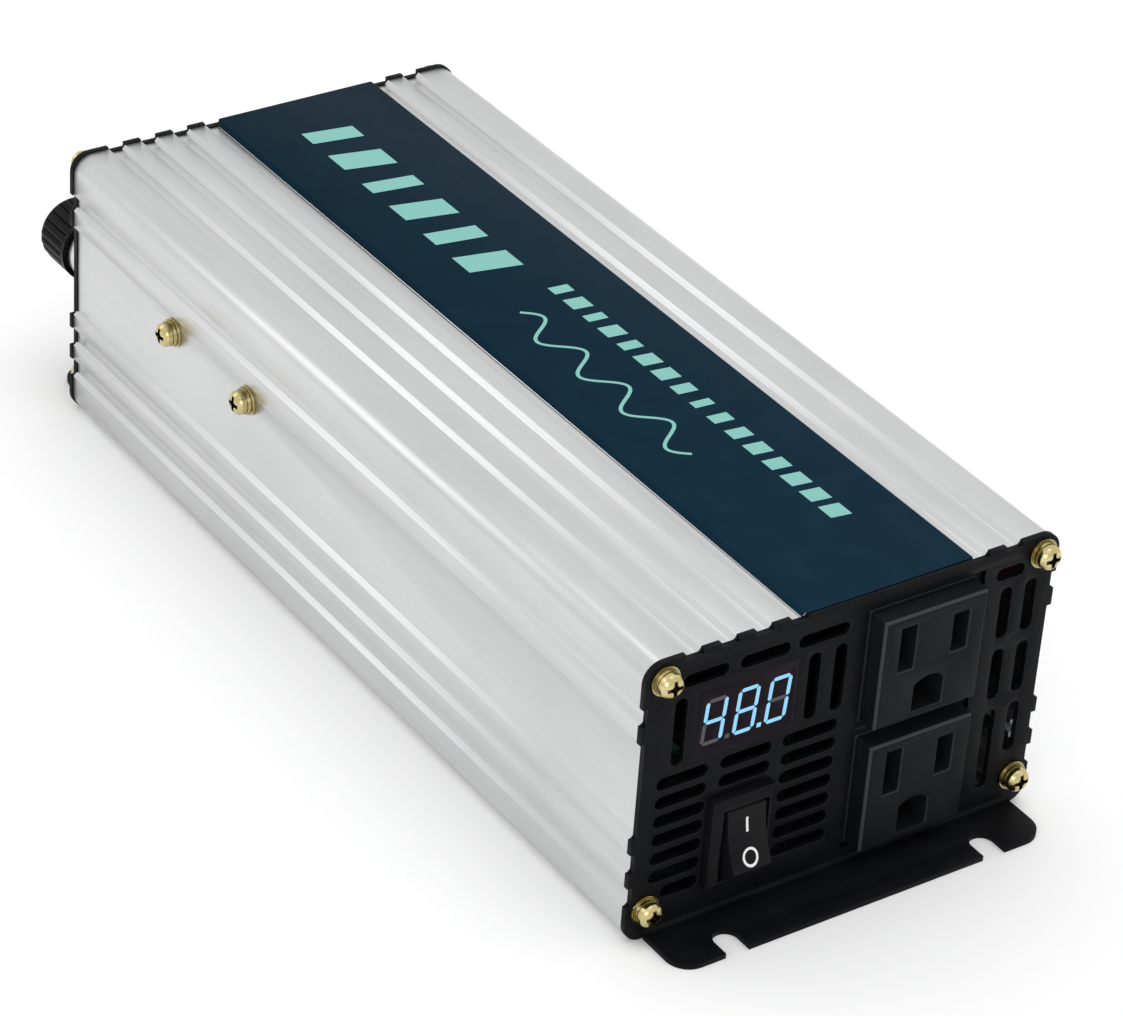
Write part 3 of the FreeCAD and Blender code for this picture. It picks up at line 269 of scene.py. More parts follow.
def yellow_zinc():
    f = Finish("yellow_zinc", (0.62, 0.52, 0.26), 0.24, 1.0)
    film = f.grain(1.3 * MM, 3)
    pale = f.mix(f.spread(film, 0, 1, 0.35, 0.5), (0.66, 0.58, 0.34), (0.58, 0.46, 0.20))
    tinted = f.mix(f.spread(film, 0, 1, 0.5, 0.68), pale, (0.50, 0.52, 0.28))
    # painted shade: the zinc darkens to near black in crevices and recesses, where ambient occlusion finds
    # them
    painted_crevice_shade = f.put("ShaderNodeAmbientOcclusion", {"Distance": 0.9 * MM}, samples=8).outputs["AO"]
    f.feed("Base Color", f.mix(f.spread(painted_crevice_shade, 0, 1, 0.35, 0.85), (0.03, 0.024, 0.008), tinted))
    turned = f.grain(0.12 * MM, 2)
    f.feed("Roughness", f.spread(turned, 0.14, 0.28))
    f.feed("Normal", f.relief(turned, 0.004 * MM, 0.5))
    return f.material


def plated_metal(name, colour, shade, roughness):
    """Tinned, brass, copper or steel: a metal whose tone and gloss vary a little."""
    f = Finish(name, colour, roughness, 1.0)
    tone = f.grain(2.2 * MM, 3)
    scratch = f.grain(0.1 * MM, 2, (1, 12, 1))
    f.feed("Base Color", f.mix(f.spread(tone, 0, 1), colour, shade))
    f.feed("Roughness", f.spread(scratch, roughness - 0.07, roughness + 0.1))
    f.feed("Normal", f.relief(scratch, 0.004 * MM, 0.4))
    return f.material


def moulded_plastic(name, colour, shade, roughness, texture_size):
    """Spark-eroded mould texture over a plain plastic, a little uneven in gloss."""
    shine = DARK_SHINE if max(colour) < DARK_BELOW else COLOURED_SHINE
    f = Finish(name, colour, roughness, 0.0, Specular_IOR_Level=shine)
    texture = f.grain(texture_size, 3)
    flow = f.grain(6 * MM, 3)
    body = f.mix(f.spread(flow, 0, 1), colour, shade)
    if name in SHARP_EDGED:
        # painted highlight: the listed plastics get lighter edges where they slant up or to the left
        body = f.mix(f.lit_edges(), body, (0.04, 0.042, 0.045))
    f.feed("Base Color", body)
    f.feed("Roughness", f.spread(texture, roughness - 0.06, roughness + 0.08))
    f.feed("Normal", f.relief(texture, TEXTURE_DEPTH, 0.6))
    return f.material


def display_window():
    f = Finish("display_window", (0.010, 0.007, 0.010), 0.12, 0.0, Specular_IOR_Level=0.03)
    smear = f.grain(5 * MM, 4)
    f.feed("Base Color", f.mix(f.spread(smear, 0, 1), (0.009, 0.006, 0.009), (0.012, 0.008, 0.012)))
    f.feed("Roughness", f.spread(smear, 0.08, 0.2))
    f.feed("Normal", f.relief(smear, 0.002 * MM, 0.3))
    return f.material


def segment_light(name, colour, glow, unlit):
    """A display segment's diffuser, which glows in its colour or stays grey."""
    f = Finish(name, unlit, 0.35, 0.0, Emission_Strength=glow)
    bubble = f.grain(0.4 * MM, 2)
    brighter = tuple(min(1.0, c * 1.15) for c in colour)
    f.feed("Base Color", f.mix(f.spread(bubble, 0, 1), unlit, tuple(c * 1.2 for c in unlit)))
    f.feed("Emission Color", f.mix(f.spread(bubble, 0, 1), colour, brighter))
    f.feed("Roughness", f.spread(bubble, 0.25, 0.4))
    f.feed("Normal", f.relief(bubble, 0.004 * MM, 0.3))
    return f.material


def circuit_board():
    # partly the board's own dark green, partly painted shade: kept very dark so the inside of the case looks
    # shaded
    f = Finish("circuit_board", (0.008, 0.045, 0.018), 0.4, 0.0, Specular_IOR_Level=0.3)
    brick = f.put("ShaderNodeTexBrick", {"Vector": f.scaled(6 * MM, 6 * MM, 6 * MM), "Scale": 1.0,
                                         "Mortar Size": 0.06, "Mortar Smooth": 0.1})
    weave = f.grain(0.3 * MM, 2)
    track = f.mix(brick.outputs["Fac"], (0.004, 0.022, 0.009), (0.009, 0.042, 0.016))
    f.feed("Base Color", f.mix(f.spread(weave, 0, 0.35), track, (0.003, 0.015, 0.007)))
    f.feed("Roughness", f.spread(weave, 0.28, 0.42))
    f.feed("Normal", f.relief(brick.outputs["Fac"], 0.02 * MM, 0.6, f.relief(weave, 0.004 * MM, 0.4)))
    return f.material


def wound_tape():
    f = Finish("wound_tape", (0.62, 0.45, 0.06), 0.38, 0.0, Coat_Weight=0.2, Coat_Roughness=0.2)
    height = f.put("ShaderNodeSeparateXYZ", {"Vector": f.place}).outputs["Z"]
    laps = f.calc("PINGPONG", f.calc("DIVIDE", height, 2.8 * MM), 0.5)
    edge = f.spread(laps, 1, 0, 0.0, 0.06)
    crease = f.grain(1.2 * MM, 4)
    f.feed("Base Color", f.mix(edge, f.mix(f.spread(crease, 0, 1), (0.60, 0.43, 0.05), (0.68, 0.50, 0.09)),
                               (0.35, 0.24, 0.03)))
    f.feed("Roughness", f.spread(crease, 0.3, 0.48))
    f.feed("Normal", f.relief(crease, 0.05 * MM, 0.3, f.relief(edge, -0.05 * MM, 0.6)))
    return f.material


def floor_paint():
    f = Finish("pale_floor", (0.96, 0.96, 0.96), 0.75)
    soft = f.grain(90 * MM, 2)
    f.feed("Base Color", f.mix(f.spread(soft, 0, 1), (0.955, 0.955, 0.955), (0.965, 0.965, 0.965)))
    return f.material


def plastic_finishes():
    """Slot name to finish, for the pieces that are plain moulded or sintered."""
    # colour, second colour, roughness and size of the mould's texture in millimetres
    rows = {
        "black_plastic": ((0.006, 0.006, 0.007), (0.009, 0.009, 0.010), 0.36, 0.25),
        "rocker_plastic": ((0.006, 0.006, 0.007), (0.009, 0.009, 0.010), 0.33, 0.3),
        "outlet_plastic": ((0.006, 0.0065, 0.0075), (0.008, 0.0085, 0.0095), 0.48, 0.3),
        "collar_plastic": ((0.03, 0.03, 0.033), (0.045, 0.045, 0.048), 0.4, 0.3),
        "knob_plastic": ((0.003, 0.003, 0.003), (0.005, 0.005, 0.005), 0.32, 0.35),
        "red_plastic": ((0.42, 0.012, 0.010), (0.5, 0.02, 0.016), 0.32, 0.35),
        "fan_plastic": ((0.012, 0.012, 0.013), (0.02, 0.02, 0.022), 0.42, 0.4),
        "moulded_case": ((0.02, 0.02, 0.021), (0.03, 0.03, 0.031), 0.5, 0.25),
        "grey_pad": ((0.36, 0.37, 0.39), (0.44, 0.45, 0.47), 0.7, 0.4),
        "ferrite": ((0.045, 0.045, 0.05), (0.075, 0.075, 0.08), 0.6, 0.5),
        "capacitor_sleeve": ((0.012, 0.02, 0.06), (0.02, 0.03, 0.085), 0.25, 0.6),
        "fuse_body": ((0.04, 0.24, 0.05), (0.06, 0.32, 0.07), 0.2, 0.6),
        "film_box": ((0.34, 0.05, 0.03), (0.42, 0.07, 0.04), 0.45, 0.4),
    }
    return {slot: moulded_plastic(slot, colour, shade, roughness, size * MM)
            for slot, (colour, shade, roughness, size) in rows.items()}


def metal_finishes():
    """Slot name to finish, for the pieces that are bare or plated metal."""
    # colour, second colour and roughness
    rows = {
        "tinned_metal": ((0.62, 0.62, 0.63), (0.72, 0.72, 0.72), 0.3),
        "contact_brass": ((0.72, 0.54, 0.26), (0.80, 0.64, 0.36), 0.3),
        "copper": ((0.72, 0.36, 0.22), (0.82, 0.46, 0.30), 0.28),
        # partly the steel's own grey, partly painted shade: darkened so the inside of the case looks shaded
        "core_steel": ((0.10, 0.10, 0.105), (0.14, 0.14, 0.145), 0.42),
        "black_steel": ((0.03, 0.03, 0.032), (0.05, 0.05, 0.052), 0.35),
    }
    return {slot: plated_metal(slot, colour, shade, roughness)
            for slot, (colour, shade, roughness) in rows.items()}


finishes = plastic_finishes()
finishes.update(metal_finishes())
finishes["brushed_case"] = extruded_aluminium()
finishes["black_plate"] = powder_coat()
finishes["label_film"] = label_film()
finishes["yellow_zinc"] = yellow_zinc()
finishes["display_face"] = display_window()
finishes["lit_segment"] = segment_light("lit_segment", (0.24, 0.58, 0.86), 0.85, (0.05, 0.11, 0.15))
finishes["dark_segment"] = segment_light("dark_segment", (0.0, 0.0, 0.0), 0.0, (0.038, 0.038, 0.043))
finishes["circuit_board"] = circuit_board()
finishes["yellow_tape"] = wound_tape()
ink = print_ink()
white = white_print()

slot_of = {part["node"]: part["material_slot"] for part in frame["record"]["subparts"]}
body_of = {node: body for body, members in frame["record"]["behaviour"]["bodies"].items() for node in members}


# ---------------------------------------------------------------- pieces
def plain_mesh(carrier, name):
    """The evaluated shape of an object as a mesh of its own; the object goes."""
    bpy.context.view_layer.update()
    graph = bpy.context.evaluated_depsgraph_get()
    mesh = bpy.data.meshes.new_from_object(carrier.evaluated_get(graph), depsgraph=graph)
    mesh.name = name
    bpy.data.objects.remove(carrier)
    return mesh


def add_piece(name, mesh, body, slot, material=None, stands_for=(), crease=34):
    mesh.shade_smooth()
    mesh.set_sharp_from_angle(angle=math.radians(crease))
    piece = bpy.data.objects.new(name, mesh)
    bpy.context.scene.collection.objects.link(piece)
    mesh.materials.clear()
    mesh.materials.append(material or finishes[slot])
    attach(piece, body)
    if stands_for:
        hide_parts(*stands_for)
    return piece


def merged_copy(node):
    """A CAD node's shape with its loose triangles joined into flat faces."""
    shape = bmesh.new()
    shape.from_mesh(cad[node].data)
    bmesh.ops.remove_doubles(shape, verts=shape.verts, dist=MERGE_DISTANCE)
    bmesh.ops.dissolve_limit(shape, angle_limit=FLAT_WITHIN, verts=shape.verts, edges=shape.edges)
    bmesh.ops.recalc_face_normals(shape, faces=shape.faces)
    mesh = bpy.data.meshes.new(node)
    shape.to_mesh(mesh)
    shape.free()
    return mesh


def break_edges(node, width, segments):
    """A copy of a CAD node with its edges slightly rounded, shown in its place."""
    carrier = bpy.data.objects.new(node + "_carrier", merged_copy(node))
    bpy.context.scene.collection.objects.link(carrier)
    bevel = carrier.modifiers.new("broken_edges", "BEVEL")
    bevel.width = width
    bevel.segments = segments
    bevel.limit_method = "ANGLE"
    bevel.angle_limit = math.radians(30)
    bevel.use_clamp_overlap = True
    mesh = plain_mesh(carrier, node)
    return add_piece(node + "_finished", mesh, body_of[node], slot_of[node], stands_for=(node,))


# ---------------------------------------------------------------- Geometry Nodes
class Growth:
    """A geometry node tree whose inputs are named sizes."""

    def __init__(self, name, sizes, takes_points=False):
        self.tree = bpy.data.node_groups.new(name, "GeometryNodeTree")
        self.keys = {}
        face = self.tree.interface
        if takes_points:
            face.new_socket(name="Points", in_out="INPUT", socket_type="NodeSocketGeometry")
        for label, value in sizes.items():
            kind = "NodeSocketInt" if isinstance(value, int) else "NodeSocketFloat"
            socket = face.new_socket(name=label, in_out="INPUT", socket_type=kind)
            socket.default_value = value
            self.keys[label] = socket.identifier
        face.new_socket(name="Geometry", in_out="OUTPUT", socket_type="NodeSocketGeometry")
        self.sizes = sizes
        self.given = self.tree.nodes.new("NodeGroupInput").outputs

    def put(self, kind, inputs=None, **settings):
        node = self.tree.nodes.new(kind)
        for key, value in settings.items():
            setattr(node, key, value)
        for key, value in (inputs or {}).items():
            several = value if isinstance(value, list) else [value]
            for item in several:
                if isinstance(item, bpy.types.NodeSocket):
                    self.tree.links.new(item, node.inputs[key])
                else:
                    node.inputs[key].default_value = item
        return node.outputs[0]

    def calc(self, operation, first, second=0.0):
        return self.put("ShaderNodeMath", {0: first, 1: second}, operation=operation)

    def vector(self, x=0.0, y=0.0, z=0.0):
        return self.put("ShaderNodeCombineXYZ", {"X": x, "Y": y, "Z": z})

    def parts_of(self, vector):
        node = self.tree.nodes.new("ShaderNodeSeparateXYZ")
        self.tree.links.new(vector, node.inputs[0])
        return node.outputs[0], node.outputs[1], node.outputs[2]

    def place(self):
        return self.parts_of(self.put("GeometryNodeInputPosition"))

    def from_axis(self, x, y):
        """Distance of each point from the Z axis."""
        return self.calc("SQRT", self.calc("ADD", self.calc("POWER", x, 2), self.calc("POWER", y, 2)))

    def random(self, low, high, seed):
        node = self.tree.nodes.new("FunctionNodeRandomValue")
        node.data_type = "FLOAT"
        for key, value in (("Min", low), ("Max", high)):
            socket = [s for s in node.inputs if s.name == key and s.type == "VALUE"][0]
            if isinstance(value, bpy.types.NodeSocket):
                self.tree.links.new(value, socket)
            else:
                socket.default_value = value
        node.inputs["Seed"].default_value = seed
        return [s for s in node.outputs if s.type == "VALUE"][0]

    def end(self, geometry, material):
        solid = self.put("GeometryNodeRealizeInstances", {"Geometry": geometry})
        painted = self.put("GeometryNodeSetMaterial", {"Geometry": solid, "Material": material})
        out = self.tree.nodes.new("NodeGroupOutput")
        self.tree.links.new(painted, out.inputs["Geometry"])
        return self


def grow(name, growth, changed=None, seats=()):
    """Runs a tree once; seats are pairs of a point and the direction that faces out of it."""
    base = bpy.data.meshes.new(name + "_seats")
    base.from_pydata([tuple(seat[0]) for seat in seats], [], [])
    if seats:
        way = base.attributes.new("out", "FLOAT_VECTOR", "POINT")
        for row, seat in zip(way.data, seats):
            row.vector = seat[1]
    carrier = bpy.data.objects.new(name + "_carrier", base)
    bpy.context.scene.collection.objects.link(carrier)
    modifier = carrier.modifiers.new(name, "NODES")
    modifier.node_group = growth.tree
    sizes = dict(growth.sizes)
    sizes.update(changed or {})
    for label, value in sizes.items():
        modifier[growth.keys[label]] = value
    return plain_mesh(carrier, name)


def pan_screws():
    """Cross-recess pan head screws with a threaded shank, one at each seat."""
    g = Growth("pan_screws", {"Head Radius": M3_HEAD_RADIUS, "Head Height": M3_HEAD_HEIGHT,
                              "Shank Radius": M3_RADIUS, "Shank Length": 10 * MM,
                              "Thread Pitch": M3_PITCH}, takes_points=True)
    # shares of the head's radius and height, shares of the shank's radius, and the head's rounding
    recess_length, recess_width, recess_middle, recess_depth = 1.34, 0.33, 0.52, 1.5
    core_share, crest_share = 0.86, 0.14
    dome_curve, dome_drop = 5.0, -0.5
    radius, height = g.given["Head Radius"], g.given["Head Height"]
    can = g.put("GeometryNodeMeshCylinder", {"Vertices": 40, "Side Segments": 3, "Fill Segments": 8,
                                             "Radius": radius, "Depth": height})
    lifted = g.put("GeometryNodeTransform", {"Geometry": can,
                                             "Translation": g.vector(z=g.calc("MULTIPLY", height, 0.5))})
    x, y, z = g.place()
    out = g.calc("DIVIDE", g.from_axis(x, y), radius)
    sink = g.calc("MULTIPLY", g.calc("POWER", out, dome_curve), g.calc("MULTIPLY", z, dome_drop))
    dome = g.put("GeometryNodeSetPosition", {"Geometry": lifted, "Offset": g.vector(z=sink)})
    long_side = g.calc("MULTIPLY", radius, recess_length)
    thin_side = g.calc("MULTIPLY", radius, recess_width)
    deep = g.calc("MULTIPLY", height, recess_depth)
    bars = [g.put("GeometryNodeMeshCube", {"Size": g.vector(*pair, deep)})
            for pair in ((long_side, thin_side), (thin_side, long_side))]
    wide = g.calc("MULTIPLY", radius, recess_middle)
    bars.append(g.put("GeometryNodeMeshCube", {"Size": g.vector(wide, wide, deep)}))
    tool = g.put("GeometryNodeTransform", {"Geometry": g.put("GeometryNodeMeshBoolean", {"Mesh 2": bars},
                                                             operation="UNION", solver="EXACT"),
                                           "Translation": g.vector(z=height)})
    head = g.put("GeometryNodeMeshBoolean", {"Mesh 1": dome, "Mesh 2": tool},
                 operation="DIFFERENCE", solver="EXACT")
    shank_radius, length = g.given["Shank Radius"], g.given["Shank Length"]
    core = g.calc("MULTIPLY", shank_radius, core_share)
    shank = g.put("GeometryNodeMeshCylinder", {"Vertices": 24, "Radius": core, "Depth": length})
    half_down = g.vector(z=g.calc("MULTIPLY", length, -0.5))
    shank = g.put("GeometryNodeTransform", {"Geometry": shank, "Translation": half_down})
    pitch = g.given["Thread Pitch"]
    turns = g.calc("DIVIDE", length, pitch)
    helix = g.put("GeometryNodeCurveSpiral", {"Resolution": 14, "Rotations": turns, "Start Radius": core,
                                              "End Radius": core, "Height": length})
    crest_radius = g.calc("MULTIPLY", shank_radius, crest_share)
    crest = g.put("GeometryNodeCurvePrimitiveCircle", {"Resolution": 4, "Radius": crest_radius})
    thread = g.put("GeometryNodeCurveToMesh", {"Curve": helix, "Profile Curve": crest, "Fill Caps": True})
    down = g.vector(z=g.calc("MULTIPLY", length, -1.0))
    thread = g.put("GeometryNodeTransform", {"Geometry": thread, "Translation": down})
    screw = g.put("GeometryNodeJoinGeometry", {"Geometry": [head, shank, thread]})
    way = g.put("GeometryNodeInputNamedAttribute", {"Name": "out"}, data_type="FLOAT_VECTOR")
    turn = g.put("FunctionNodeAlignRotationToVector", {"Vector": way}, axis="Z")
    placed = g.put("GeometryNodeInstanceOnPoints", {"Points": g.given["Points"], "Instance": screw,
                                                    "Rotation": turn})
    return g.end(placed, finishes["yellow_zinc"])


def guard_wires():
    """Rings of wire on four spokes, with an eye at each corner; its axis is Z and its back is at z = 0."""
    g = Growth("guard_wires", {"Wire Radius": 0.8 * MM, "Rings": 3, "First Ring": 7 * MM,
                               "Ring Step": 7.6 * MM, "Eye Reach": 28.28 * MM, "Eye Radius": 3.1 * MM})
    wire = g.given["Wire Radius"]
    profile = g.put("GeometryNodeCurvePrimitiveCircle", {"Resolution": 12, "Radius": wire})
    spots = g.put("GeometryNodePoints", {"Count": g.given["Rings"]})
    index = g.put("GeometryNodeInputIndex")
    reach = g.calc("ADD", g.given["First Ring"], g.calc("MULTIPLY", index, g.given["Ring Step"]))
    circle = g.put("GeometryNodeCurvePrimitiveCircle", {"Resolution": 72, "Radius": 1.0})
    rings = g.put("GeometryNodeInstanceOnPoints", {"Points": spots, "Instance": circle, "Scale": reach})
    on_spokes = g.vector(z=g.calc("MULTIPLY", wire, 3.0))
    rings = g.put("GeometryNodeTransform", {"Geometry": rings, "Translation": on_spokes})
    eye_edge = g.calc("SUBTRACT", g.given["Eye Reach"], g.given["Eye Radius"])
    spoke = g.put("GeometryNodeCurvePrimitiveLine", {"Start": g.vector(g.given["First Ring"], 0.0, wire),
                                                     "End": g.vector(eye_edge, 0.0, wire)})
    eye = g.put("GeometryNodeCurvePrimitiveCircle", {"Resolution": 32, "Radius": g.given["Eye Radius"]})
    eye = g.put("GeometryNodeTransform", {"Geometry": eye,
                                          "Translation": g.vector(g.given["Eye Reach"], 0.0, wire)})
    arm = g.put("GeometryNodeJoinGeometry", {"Geometry": [spoke, eye]})
    corners = g.put("GeometryNodePoints", {"Count": 4})
    angle = g.calc("ADD", g.calc("MULTIPLY", index, math.radians(90)), math.radians(45))
    turn = g.put("FunctionNodeEulerToRotation", {"Euler": g.vector(z=angle)})
    arms = g.put("GeometryNodeInstanceOnPoints", {"Points": corners, "Instance": arm, "Rotation": turn})
    paths = g.put("GeometryNodeRealizeInstances", {"Geometry": g.put("GeometryNodeJoinGeometry",
                                                                     {"Geometry": [rings, arms]})})
    wires = g.put("GeometryNodeCurveToMesh", {"Curve": paths, "Profile Curve": profile, "Fill Caps": True})
    return g.end(wires, finishes["black_plate"])


def ribbed_knob():
    """Cap with rounded ribs along its side, domed at its outer end; its axis is Z from z = 0."""
    g = Growth("ribbed_knob", {"Radius": 8 * MM, "Length": 11.5 * MM, "Ribs": 22, "Rib Depth": 0.55 * MM})
    # how the ribs are cut and fade at both ends, then how the outer end's rim and dome are rounded
    points_per_rib, rib_curve, run_out, plain_end = 10.0, 0.6, 12.0, 0.6
    rim_curve, rim_share = 22.0, 0.11
    dome_curve, dome_height, dome_spread = 12.0, -0.7 * MM, 4.0
    radius, length = g.given["Radius"], g.given["Length"]
    around = g.calc("MULTIPLY", g.given["Ribs"], points_per_rib)
    can = g.put("GeometryNodeMeshCylinder", {"Vertices": around, "Side Segments": 26, "Fill Segments": 8,
                                             "Radius": radius, "Depth": length})
    half = g.vector(z=g.calc("MULTIPLY", length, 0.5))
    can = g.put("GeometryNodeTransform", {"Geometry": can, "Translation": half})
    x, y, z = g.place()
    angle = g.calc("ARCTAN2", y, x)
    half_ribs = g.calc("MULTIPLY", g.given["Ribs"], 0.5)
    wave = g.calc("ABSOLUTE", g.calc("SINE", g.calc("MULTIPLY", angle, half_ribs)))
    groove = g.calc("SUBTRACT", 1.0, g.calc("POWER", wave, rib_curve))
    share = g.calc("DIVIDE", z, length)
    from_end = g.calc("MINIMUM", g.calc("MULTIPLY", g.calc("SUBTRACT", 1.0, share), run_out),
                      g.calc("MULTIPLY", share, run_out))
    inside = g.calc("MINIMUM", g.calc("SUBTRACT", from_end, plain_end), 1.0)
    inside = g.calc("MAXIMUM", inside, 0.0)
    deepest = g.calc("DIVIDE", g.given["Rib Depth"], radius)
    cut = g.calc("MULTIPLY", g.calc("MULTIPLY", groove, inside), deepest)
    rim = g.calc("MULTIPLY", g.calc("POWER", share, rim_curve), rim_share)
    scale = g.calc("SUBTRACT", g.calc("SUBTRACT", 1.0, cut), rim)
    out = g.calc("DIVIDE", g.from_axis(x, y), radius)
    dome = g.calc("MULTIPLY", g.calc("POWER", share, dome_curve), dome_height)
    sag = g.calc("MULTIPLY", g.calc("POWER", out, dome_spread), dome)
    moved = g.vector(g.calc("MULTIPLY", x, scale), g.calc("MULTIPLY", y, scale), g.calc("ADD", z, sag))
    shaped = g.put("GeometryNodeSetPosition", {"Geometry": can, "Position": moved})
    return g.end(shaped, finishes["knob_plastic"])


def wave_line():
    """A ribbon that follows a sine curve along X, one trough and one crest for each turn."""
    g = Growth("wave_line", {"Length": 20 * MM, "Height": 3 * MM, "Waves": 1.0, "Width": 0.5 * MM})
    line = g.put("GeometryNodeCurvePrimitiveLine", {"Start": (0, 0, 0), "End": g.vector(g.given["Length"])})
    line = g.put("GeometryNodeResampleCurve", {"Curve": line, "Count": 200})
    share = g.put("GeometryNodeSplineParameter")
    turn = g.calc("MULTIPLY", g.calc("MULTIPLY", share, g.given["Waves"]), 2 * math.pi)
    rise = g.vector(0.0, g.calc("MULTIPLY", g.calc("SINE", turn), g.given["Height"]), 0.0)
    bent = g.put("GeometryNodeSetPosition", {"Geometry": line, "Offset": rise})
    half = g.calc("MULTIPLY", g.given["Width"], 0.5)
    other_half = g.calc("MULTIPLY", half, -1.0)
    flat = g.put("GeometryNodeCurvePrimitiveLine", {"Start": g.vector(half), "End": g.vector(other_half)})
    ribbon = g.put("GeometryNodeCurveToMesh", {"Curve": bent, "Profile Curve": flat})
    return g.end(ribbon, ink)


def slanted_bars():
    """A row of leaning bars along X, each a little different in width."""
    g = Growth("slanted_bars", {"Count": 6, "Step": 12 * MM, "Bar Width": 9 * MM, "Bar Height": 10 * MM,
                                "Lean": 0.2, "Uneven": 0.0})
    dots = g.put("GeometryNodeMeshLine", {"Count": g.given["Count"], "Start Location": (0, 0, 0),
                                          "Offset": g.vector(g.given["Step"])}, mode="OFFSET")
    tile = g.put("GeometryNodeMeshGrid", {"Size X": g.given["Bar Width"], "Size Y": g.given["Bar Height"],
                                          "Vertices X": 2, "Vertices Y": 2})
    x, y, z = g.place()
    leaning = g.put("GeometryNodeSetPosition", {"Geometry": tile,
                                                "Offset": g.vector(g.calc("MULTIPLY", y, g.given["Lean"]))})
    width_seed = 4
    shrink = g.calc("SUBTRACT", 1.0, g.calc("MULTIPLY", g.random(0.0, 1.0, width_seed), g.given["Uneven"]))
    row = g.put("GeometryNodeInstanceOnPoints", {"Points": dots, "Instance": leaning,
                                                 "Scale": g.vector(shrink, 1.0, 1.0)})
    return g.end(row, ink)


def toroid_winding():
    """Wire wound round a ring in the XY plane."""
    g = Growth("toroid_winding", {"Ring Radius": 7.5 * MM, "Turn Radius": 3.3 * MM, "Wire Radius": 0.55 * MM,
                                  "Turns": 22.0})
    wound_arc = math.radians(342)
    line = g.put("GeometryNodeCurvePrimitiveLine", {"Start": (0, 0, 0), "End": (1, 0, 0)})
    line = g.put("GeometryNodeResampleCurve", {"Curve": line, "Count": 700})
    share = g.put("GeometryNodeSplineParameter")
    round_ring = g.calc("MULTIPLY", share, wound_arc)
    round_wire = g.calc("MULTIPLY", g.calc("MULTIPLY", share, g.given["Turns"]), 2 * math.pi)
    reach = g.calc("ADD", g.given["Ring Radius"],
                   g.calc("MULTIPLY", g.given["Turn Radius"], g.calc("COSINE", round_wire)))
    place = g.vector(g.calc("MULTIPLY", reach, g.calc("COSINE", round_ring)),
                     g.calc("MULTIPLY", reach, g.calc("SINE", round_ring)),
                     g.calc("MULTIPLY", g.given["Turn Radius"], g.calc("SINE", round_wire)))
    coil = g.put("GeometryNodeSetPosition", {"Geometry": line, "Position": place})
    profile = g.put("GeometryNodeCurvePrimitiveCircle", {"Resolution": 8, "Radius": g.given["Wire Radius"]})
    wire = g.put("GeometryNodeCurveToMesh", {"Curve": coil, "Profile Curve": profile, "Fill Caps": True})
    return g.end(wire, finishes["copper"])


def chip_field():
    """Small chip resistors at some of the points of a grid, turned one way or the other."""
    g = Growth("chip_field", {"Width": 14 * MM, "Length": 70 * MM, "Chip Length": 2.0 * MM, "Fill": 0.4})
    width_share, height_share, keep_seed, turn_seed = 0.6, 0.35, 11, 5
    grid = g.put("GeometryNodeMeshGrid", {"Size X": g.given["Width"], "Size Y": g.given["Length"],
                                          "Vertices X": 5, "Vertices Y": 18})
    keep = g.put("FunctionNodeCompare", {0: g.random(0.0, 1.0, keep_seed), 1: g.given["Fill"]},
                 data_type="FLOAT", operation="LESS_THAN")
    long_side = g.given["Chip Length"]
    short_side = g.calc("MULTIPLY", long_side, width_share)
    height = g.calc("MULTIPLY", long_side, height_share)
    chip = g.put("GeometryNodeMeshCube", {"Size": g.vector(long_side, short_side, height)})
    half_up = g.vector(z=g.calc("MULTIPLY", height, 0.5))
    raised = g.put("GeometryNodeTransform", {"Geometry": chip, "Translation": half_up})
    quarter = g.calc("MULTIPLY", g.calc("ROUND", g.random(0.0, 1.0, turn_seed)), math.radians(90))
    turn = g.put("FunctionNodeEulerToRotation", {"Euler": g.vector(z=quarter)})
    chips = g.put("GeometryNodeInstanceOnPoints", {"Points": grid, "Selection": keep, "Instance": raised,
                                                   "Rotation": turn})
    return g.end(chips, finishes["moulded_case"])


# ---------------------------------------------------------------- build
def paint_cad_nodes():
    """Every CAD node that stays gets its slot's finish."""
    for node, thing in cad.items():
        thing.data.materials.clear()
        thing.data.materials.append(finishes[slot_of[node]])


def aimed_back(node):
    """Carries a shape grown along Z onto a node's place, with its axis along Y."""
    low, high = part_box(node)
    seat = Vector(((low.x + high.x) / 2, low.y, (low.z + high.z) / 2))
    return Matrix.Translation(seat) @ Matrix.Rotation(math.radians(-90), 4, "X")


def broken_edges():
    for node, width in EDGE_WIDTHS.items():
        break_edges(node, width, 3 if node == "rocker_paddle" else 2)


def screw_seats(node, axis):
    """For each screw in a node: the top of its head, the way the head faces, and its whole length."""
    shape = bmesh.new()
    shape.from_mesh(cad[node].data)
    bmesh.ops.remove_doubles(shape, verts=shape.verts, dist=MERGE_DISTANCE)
    seats = []
    unseen = set(shape.verts)
    while unseen:
        island = [unseen.pop()]
        for vert in island:
            for edge in vert.link_edges:
                other = edge.other_vert(vert)
                if other in unseen:
                    unseen.remove(other)
                    island.append(other)
        low = Vector([min(v.co[k] for v in island) for k in range(3)])
        high = Vector([max(v.co[k] for v in island) for k in range(3)])
        crown = (low + high) / 2
        way = Vector((0, 0, 0))
        way[axis] = 1 if crown[axis] > 0 else -1
        crown[axis] = high[axis] if way[axis] > 0 else low[axis]
        seats.append((crown, way, high[axis] - low[axis]))
    shape.free()
    return sorted(seats, key=lambda seat: tuple(seat[0]))


